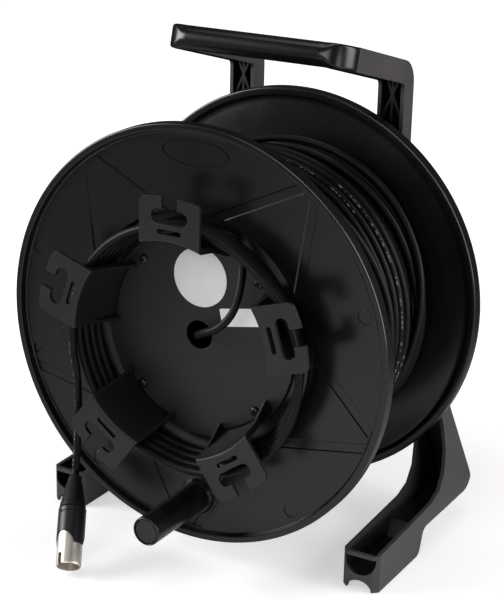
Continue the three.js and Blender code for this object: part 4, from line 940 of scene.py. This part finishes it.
def makeArm(s):
    half, foot, bend, reach, front, skin = (s[key] for key in ("half", "foot", "bend", "reach", "front", "skin"))
    floor, rear = s["floor"], front + skin
    profile = [(foot, floor), (bend - 1.6, front + 3), (bend - 0.6, front + 0.9), (bend + 1.4, front), (reach, front),
               (reach, rear), (bend + 4.2, rear), (bend + skin + 0.4, rear + 0.6), (bend + skin - 0.4, rear + 2.4),
               (foot + skin, floor), (foot, floor)]
    piece = turned("cableArm", profile, steps=48, angle=60, start=60)
    onlySelect(piece)
    bpy.ops.object.mode_set(mode="EDIT")
    bpy.ops.mesh.select_all(action="DESELECT")
    bpy.ops.mesh.select_non_manifold()
    bpy.ops.mesh.fill_holes(sides=0)
    leaveEdit(piece)
    outline = rounded(box(-half, half, foot - 8, reach, s["corner"]), 10)
    combine(piece, [slab("outline", outline, -50, 20)], "INTERSECT")
    neck = box(-s["neck"] / 2, s["neck"] / 2, s["slotPlace"], reach + 8)
    cuts = [longHole(s["slotPlace"], s["slotLength"], s["slotHeight"]), neck,
            longHole(s["slitPlace"], s["slitLength"], s["slitHeight"])]
    combine(piece, [slab("cut", cut, -40, -20) for cut in cuts])
    base, end = holderFace - 0.3, s["gussetEnd"]
    side = [(base, s["gussetFoot"]), (base, wallMiddle(s, base)), (end, wallMiddle(s, end))]
    combine(piece, [sideSlab("gusset", side, left, left + skin) for left in (-half, half - skin)], "UNION")
    return soften(piece, 0.45, 3, 30, 35)


def makeArms(s):
    first = makeArm(s)
    centre = place(0, 0, 0)
    for k in range(s["count"]):
        turn = Matrix.Rotation(math.radians(90 - s["angle"] - 360 / s["count"] * k), 4, "Y")
        piece = twinOf(first, f"cableArm{k + 1}", Matrix.Translation(centre) @ turn @ Matrix.Translation(-centre))
        dress(piece, "holderPlastic", "core_plastic", f"cable_arm_{k + 1}")
    bpy.data.objects.remove(first)


def makeLabels(s):
    circle = ellipse(s["radius"], s["radius"], *s["circle"], 96)
    tilt = Matrix.Rotation(math.radians(s["tilt"]), 2)
    w, h = s["halfLength"], s["halfHeight"]
    corners = rounded([(*point[:2], s["corner"]) for point in box(-w, w, -h, h)], 4)
    corners = [tilt @ point + Vector(s["long"]) for point in corners]
    for name, outline in (("roundLabel", circle), ("longLabel", corners)):
        dress(slab(name, outline, holderFace - s["sheet"], holderFace), "labelPaper", "")


makeArms(arm)
disc = soften(copyOf("cable_holder", "holderDisc"), 0.3, 2)
dress(disc, "holderPlastic", "core_plastic", "cable_holder")
makeLabels(labels)
print("cable holder")


# Knob
knob = {"bolt": 4.1, "radius": 11, "front": -65, "rear": 1.7, "cap": 9.6, "seat": -62}


def makeKnob(s):
    centre = place(knobPlace[0], 0, knobPlace[1])
    bolt, radius, front, rear, seat = s["bolt"], s["radius"], s["front"], s["rear"], s["seat"]
    handle = turned("crankKnob", [
        (bolt, -51), (7.3, -51), (7.3, seat), (s["cap"], seat), (s["cap"], front + 0.3), (9.9, front), (10.3, front),
        (10.8, front + 0.4), (radius, front + 1.1), (radius, -8), (10.75, -6.5), (10.75, -4.6), (radius, -3.2),
        (radius, 0.9), (10.7, 1.5), (10.1, rear), (bolt, rear), (bolt, -51)], centre, 96)
    soften(handle, 0.2, 2, 38, 40)
    dress(handle, "gripPlastic", "grip_plastic", "crank_knob", body="knob")
    cap = turned("knobCap", [(0, front + 0.8), (5.5, front + 0.7), (8.3, front + 0.45), (9.0, front + 0.7),
                             (9.3, front + 1.3), (9.3, seat), (0, seat)], centre, 72)
    soften(cap, 0.15, 2, 38, 45)
    dress(cap, "gripPlastic", "grip_plastic", "knob_cap", body="knob")


makeKnob(knob)
print("knob")


# Carrying frame
frameFront = 180.9        # front edges of the side frames, the ribs lie a little deeper
# Grip: tilt, thickness, seam with the arms, front face, arms' faces, corner round inside, edge rounds
grip = {"tilt": 15.1, "thick": 17.9, "seamY": 99.5, "seamZ": 199.2, "front": 77.6, "inner": 55.4, "outer": 77.8,
        "bend": 0.6, "edge": 2.2, "softEdge": 8.4, "softFrom": 9, "softTo": 40, "arc": 8, "cornerSteps": 24}


def paintCavityShade(piece, reach=0.045):     # painted shade: how much of the piece itself each face looks at, stored per face
    rays = []
    for height in (0.35, 0.75):
        for k in range(6):
            rays.append(Vector((*polar(math.sqrt(1 - height ** 2), 60 * (k + 0.5 * height)), height)))
    values = []
    for face in piece.data.polygons:
        turn = face.normal.to_track_quat("Z", "Y")
        start = face.center + face.normal * 0.0003
        hits = sum(piece.ray_cast(start, turn @ ray, distance=reach)[0] for ray in rays)
        # rib faces deeper than the front edges get full painted shade
        rib = face.normal.y < -0.7 and start.y > (frameFront + 1.5 + frontFace) * mm
        values.append(1 if rib else smooth((hits / len(rays) - 0.12) / 0.2))
    piece.data.attributes.new("cavity", "FLOAT", "FACE").data.foreach_set("value", values)


def makeGrip(s):
    tilt = math.radians(s["tilt"])
    forward = Vector((0, -math.cos(tilt), math.sin(tilt)))
    above = Vector((0, math.sin(tilt), math.cos(tilt)))
    seam = Vector((0, s["seamY"], s["seamZ"]))
    width = s["outer"] - s["inner"]
    middle = (s["outer"] + s["inner"]) / 2
    bend = width / 2 + s["bend"]
    reach = (s["seamY"] - s["front"]) / math.cos(tilt) - width / 2
    stations = [(middle, 0.3, 0), (middle, (reach - bend) / 2, 0)]
    for k in range(s["cornerSteps"] + 1):
        turn = 90 * k / s["cornerSteps"]
        x, v = polar(bend, turn)
        stations.append((middle - bend + x, reach - bend + v, turn))
    stations += [(x, reach, 90) for x in (44, 33, 22, 11, 0)]
    stations += [(-x, v, 180 - turn) for x, v, turn in reversed(stations[:-1])]
    points = []
    for x, v, turn in stations:
        past = 90 - abs(90 - turn) if turn > 90 else turn
        soft = smooth((past - (90 - s["softTo"])) / (s["softTo"] - s["softFrom"]))
        edge = s["edge"] + (s["softEdge"] - s["edge"]) * soft
        outward = Vector((math.cos(math.radians(turn)), 0, 0)) + forward * math.sin(math.radians(turn))
        for corner, (signX, signZ) in enumerate(((1, 1), (-1, 1), (-1, -1), (1, -1))):
            for k in range(s["arc"]):
                a, b = polar(edge, 90 * corner + 90 * k / (s["arc"] - 1))
                point = seam + Vector((x, 0, 0)) + forward * v
                point += outward * (signX * (width / 2 - edge) + a) + above * (signZ * (s["thick"] / 2 - edge) + b)
                points.append(place(*point))
    piece = closedUp(lofted("handleGrip", points, 4 * s["arc"]))
    bpy.ops.object.shade_smooth_by_angle(angle=math.radians(40))
    dress(piece, "gripPlastic", "grip_plastic", "handle_grip", body="frame")


def makeFrame():
    for side in ("right", "left"):
        piece = soften(copyOf(f"side_frame_{side}", f"sideFrame{side.title()}"), 0.6, 2, 30, 30)
        paintCavityShade(piece)
        dress(piece, "framePlastic", "frame_plastic", f"side_frame_{side}", body="frame")
    plate = soften(copyOf("hub_plate", "hubPlate"), 0.4, 2)
    dress(plate, "framePlastic", "frame_plastic", "hub_plate", body="frame")
    makeGrip(grip)


makeFrame()
print("frame")


# Cross-head screws of the holder, the rear flange and the hub plate
screw = {"shank": 1.8, "head": 3.8, "height": 2.4, "length": 16, "slot": 1.0, "reach": 2.1, "deep": 1.5, "twist": 37}


def makeScrew(s):
    top, shank, length = -s["height"], s["shank"], s["length"]
    head = turned("screwHead", [
        (0, top), (1.6, top + 0.05), (2.6, top + 0.35), (3.3, top + 0.9), (3.7, top + 1.6), (s["head"], top + 2.0),
        (s["head"] - 0.1, 0), (shank + 0.1, 0), (shank, 0.2), (shank, length - 2), (0.5, length), (0, length)],
        Vector((0, 0, 0)), 40)
    combine(head, [block((s["reach"] * 2, s["deep"] * 2, s["slot"]), (0, top, 0), turn) for turn in (30, 120)])
    return soften(head, 0.12, 2, 35, 40)


def makeScrews(s):
    first = makeScrew(s)
    for node in [name for name in nodes if "screw" in name]:
        low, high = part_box(node)
        middle = (Vector(low) + Vector(high)) / 2
        rearward = not node.startswith("holder")
        seat = high[1] - s["height"] * mm if rearward else low[1] + s["height"] * mm
        turn = Matrix.Rotation(math.pi, 4, "Z") if rearward else Matrix.Identity(4)
        twist = Matrix.Rotation(math.radians(s["twist"] * int(node[-1])), 4, "Y")
        piece = twinOf(first, node.replace("_", ""), Matrix.Translation((middle.x, seat, middle.z)) @ turn @ twist)
        dress(piece, "blackSteel", "dark_steel", node, body="frame" if node.startswith("hub") else "drum")
    bpy.data.objects.remove(first)


makeScrews(screw)
print("screws")


# Female connector that lies on the stored cable
socket = {"boot": 25, "bootTop": 4, "radius": 10.2, "length": 70, "insertRadius": 8.4, "insertStart": 56, "hole": 1.4,
          "holePlace": 4.6, "holeStart": 59, "latchStart": 38, "latchEnd": 52, "latchWidth": 6, "latchBottom": 7,
          "latchTop": 11, "gap": 0.3}


def alongSocket(piece):
    start, along, outward = socketFrame(winding)
    basis = Matrix((along.cross(outward), along, outward)).transposed().to_4x4()
    piece.data.transform(Matrix.Translation(place(*start)) @ basis)
    piece.data.update()
    return piece


def fitAlong(piece, start, end):     # a slab one millimetre deep is set about the origin, from start to end along Y
    shift = Matrix.Translation(-place(0, 0, 0))
    stretch = Matrix.Diagonal((1, end - start, 1, 1))
    piece.data.transform(Matrix.Translation((0, start * mm, 0)) @ stretch @ shift)
    piece.data.update()
    return piece


def makeSocket(s):
    origin = Vector((0, 0, 0))
    boot, radius, top, gap = s["boot"], s["radius"], s["bootTop"], s["gap"]
    bootProfile = [(0, 0), (top - 0.4, 0), (top, 0.5), (6.3, 6), (7.7, 9.6)]
    for k in range(4):                                # soft ribs along the boot
        valley, crest, start = 8.0 + 0.34 * k, 8.35 + 0.34 * k, 10.4 + 3 * k
        bootProfile += [(valley, start), (crest, start + 0.6), (crest, start + 1.6), (valley, start + 2.2)]
    bootProfile += [(9.6, boot - 1.6), (9.9, boot - 0.8), (9.7, boot), (0, boot)]
    sleeve = soften(turned("socketBoot", bootProfile, origin, 64), 0.15, 2, 40, 50)
    front, bore, start, floor = s["length"], s["insertRadius"] + gap, boot + gap, s["insertStart"] - gap
    body = turned("socketHousing", [
        (0, start), (radius - 0.6, start), (radius, start + 0.6), (radius, start + 3.9), (radius - 0.6, start + 4.3),
        (radius - 0.6, start + 5.3), (radius, start + 5.7), (radius, front - 1.2), (radius - 0.4, front - 0.3),
        (radius - 1, front), (bore + 0.2, front), (bore, front - 0.3), (bore, floor), (0, floor)], origin, 72)
    half, latchTop = s["latchWidth"] / 2, s["latchTop"]
    pocket = slab("pocket", box(-half - gap, half + gap, 4.6, 16), 0, 1)
    combine(body, [fitAlong(pocket, s["latchStart"] - gap, s["latchEnd"] + gap)])
    soften(body, 0.2, 2, 35, 40)
    latch = slab("socketLatch", rounded(box(-half, half, s["latchBottom"], latchTop, 0.8), 5), 0, 1)
    fitAlong(latch, s["latchStart"], s["latchEnd"])
    combine(latch, [block((half * 1.6, 0.6, 0.7), (0, s["latchStart"] + 3 + 1.6 * k, latchTop)) for k in range(4)])
    soften(latch, 0.18, 2, 35, 40)
    face, side = s["insertStart"], s["insertRadius"]
    insert = turned("socketInsert", [(0, face), (side, face), (side, front - 0.8), (side - 0.4, front - 0.3),
                                     (0, front - 0.3)], origin, 64)
    holes = []
    for k in range(3):
        x, z = polar(s["holePlace"], 120 * k)
        holes.append(turned("hole", [(0, s["holeStart"]), (s["hole"], s["holeStart"]), (s["hole"], front + 2),
                                     (0, front + 2)], Vector((x, 0, z)) * mm, 24))
    combine(insert, holes)
    soften(insert, 0.2, 2, 35, 40)
    dress(alongSocket(sleeve), "bootRubber", "cable_jacket", "socket_boot")
    dress(alongSocket(body), "gripPlastic", "grip_plastic", "socket_body")
    dress(alongSocket(insert), "holderPlastic", "core_plastic", "socket_insert")
    dress(alongSocket(latch), "nickelPlate", "nickel", "socket_latch", body="latch")


makeSocket(socket)
print("socket")

keptNodes = {   # the CAD's own solids with a better material
    "zincSteel": ("axle", "retaining_ring", "thrust_washer_front", "thrust_washer_rear", "axle_washer", "axle_nut",
                  "crank_nut"),
    "bronzeBush": ("front_bush", "rear_bush"),
    "blackSteel": ("crank_bolt",),
    "holderPlastic": ("drum_core",),
}
onlySelect(None)
for finish, names in keptNodes.items():
    for node in names:
        for slot in nodes[node].material_slots:
            slot.link = "OBJECT"
            slot.material = materials[finish]
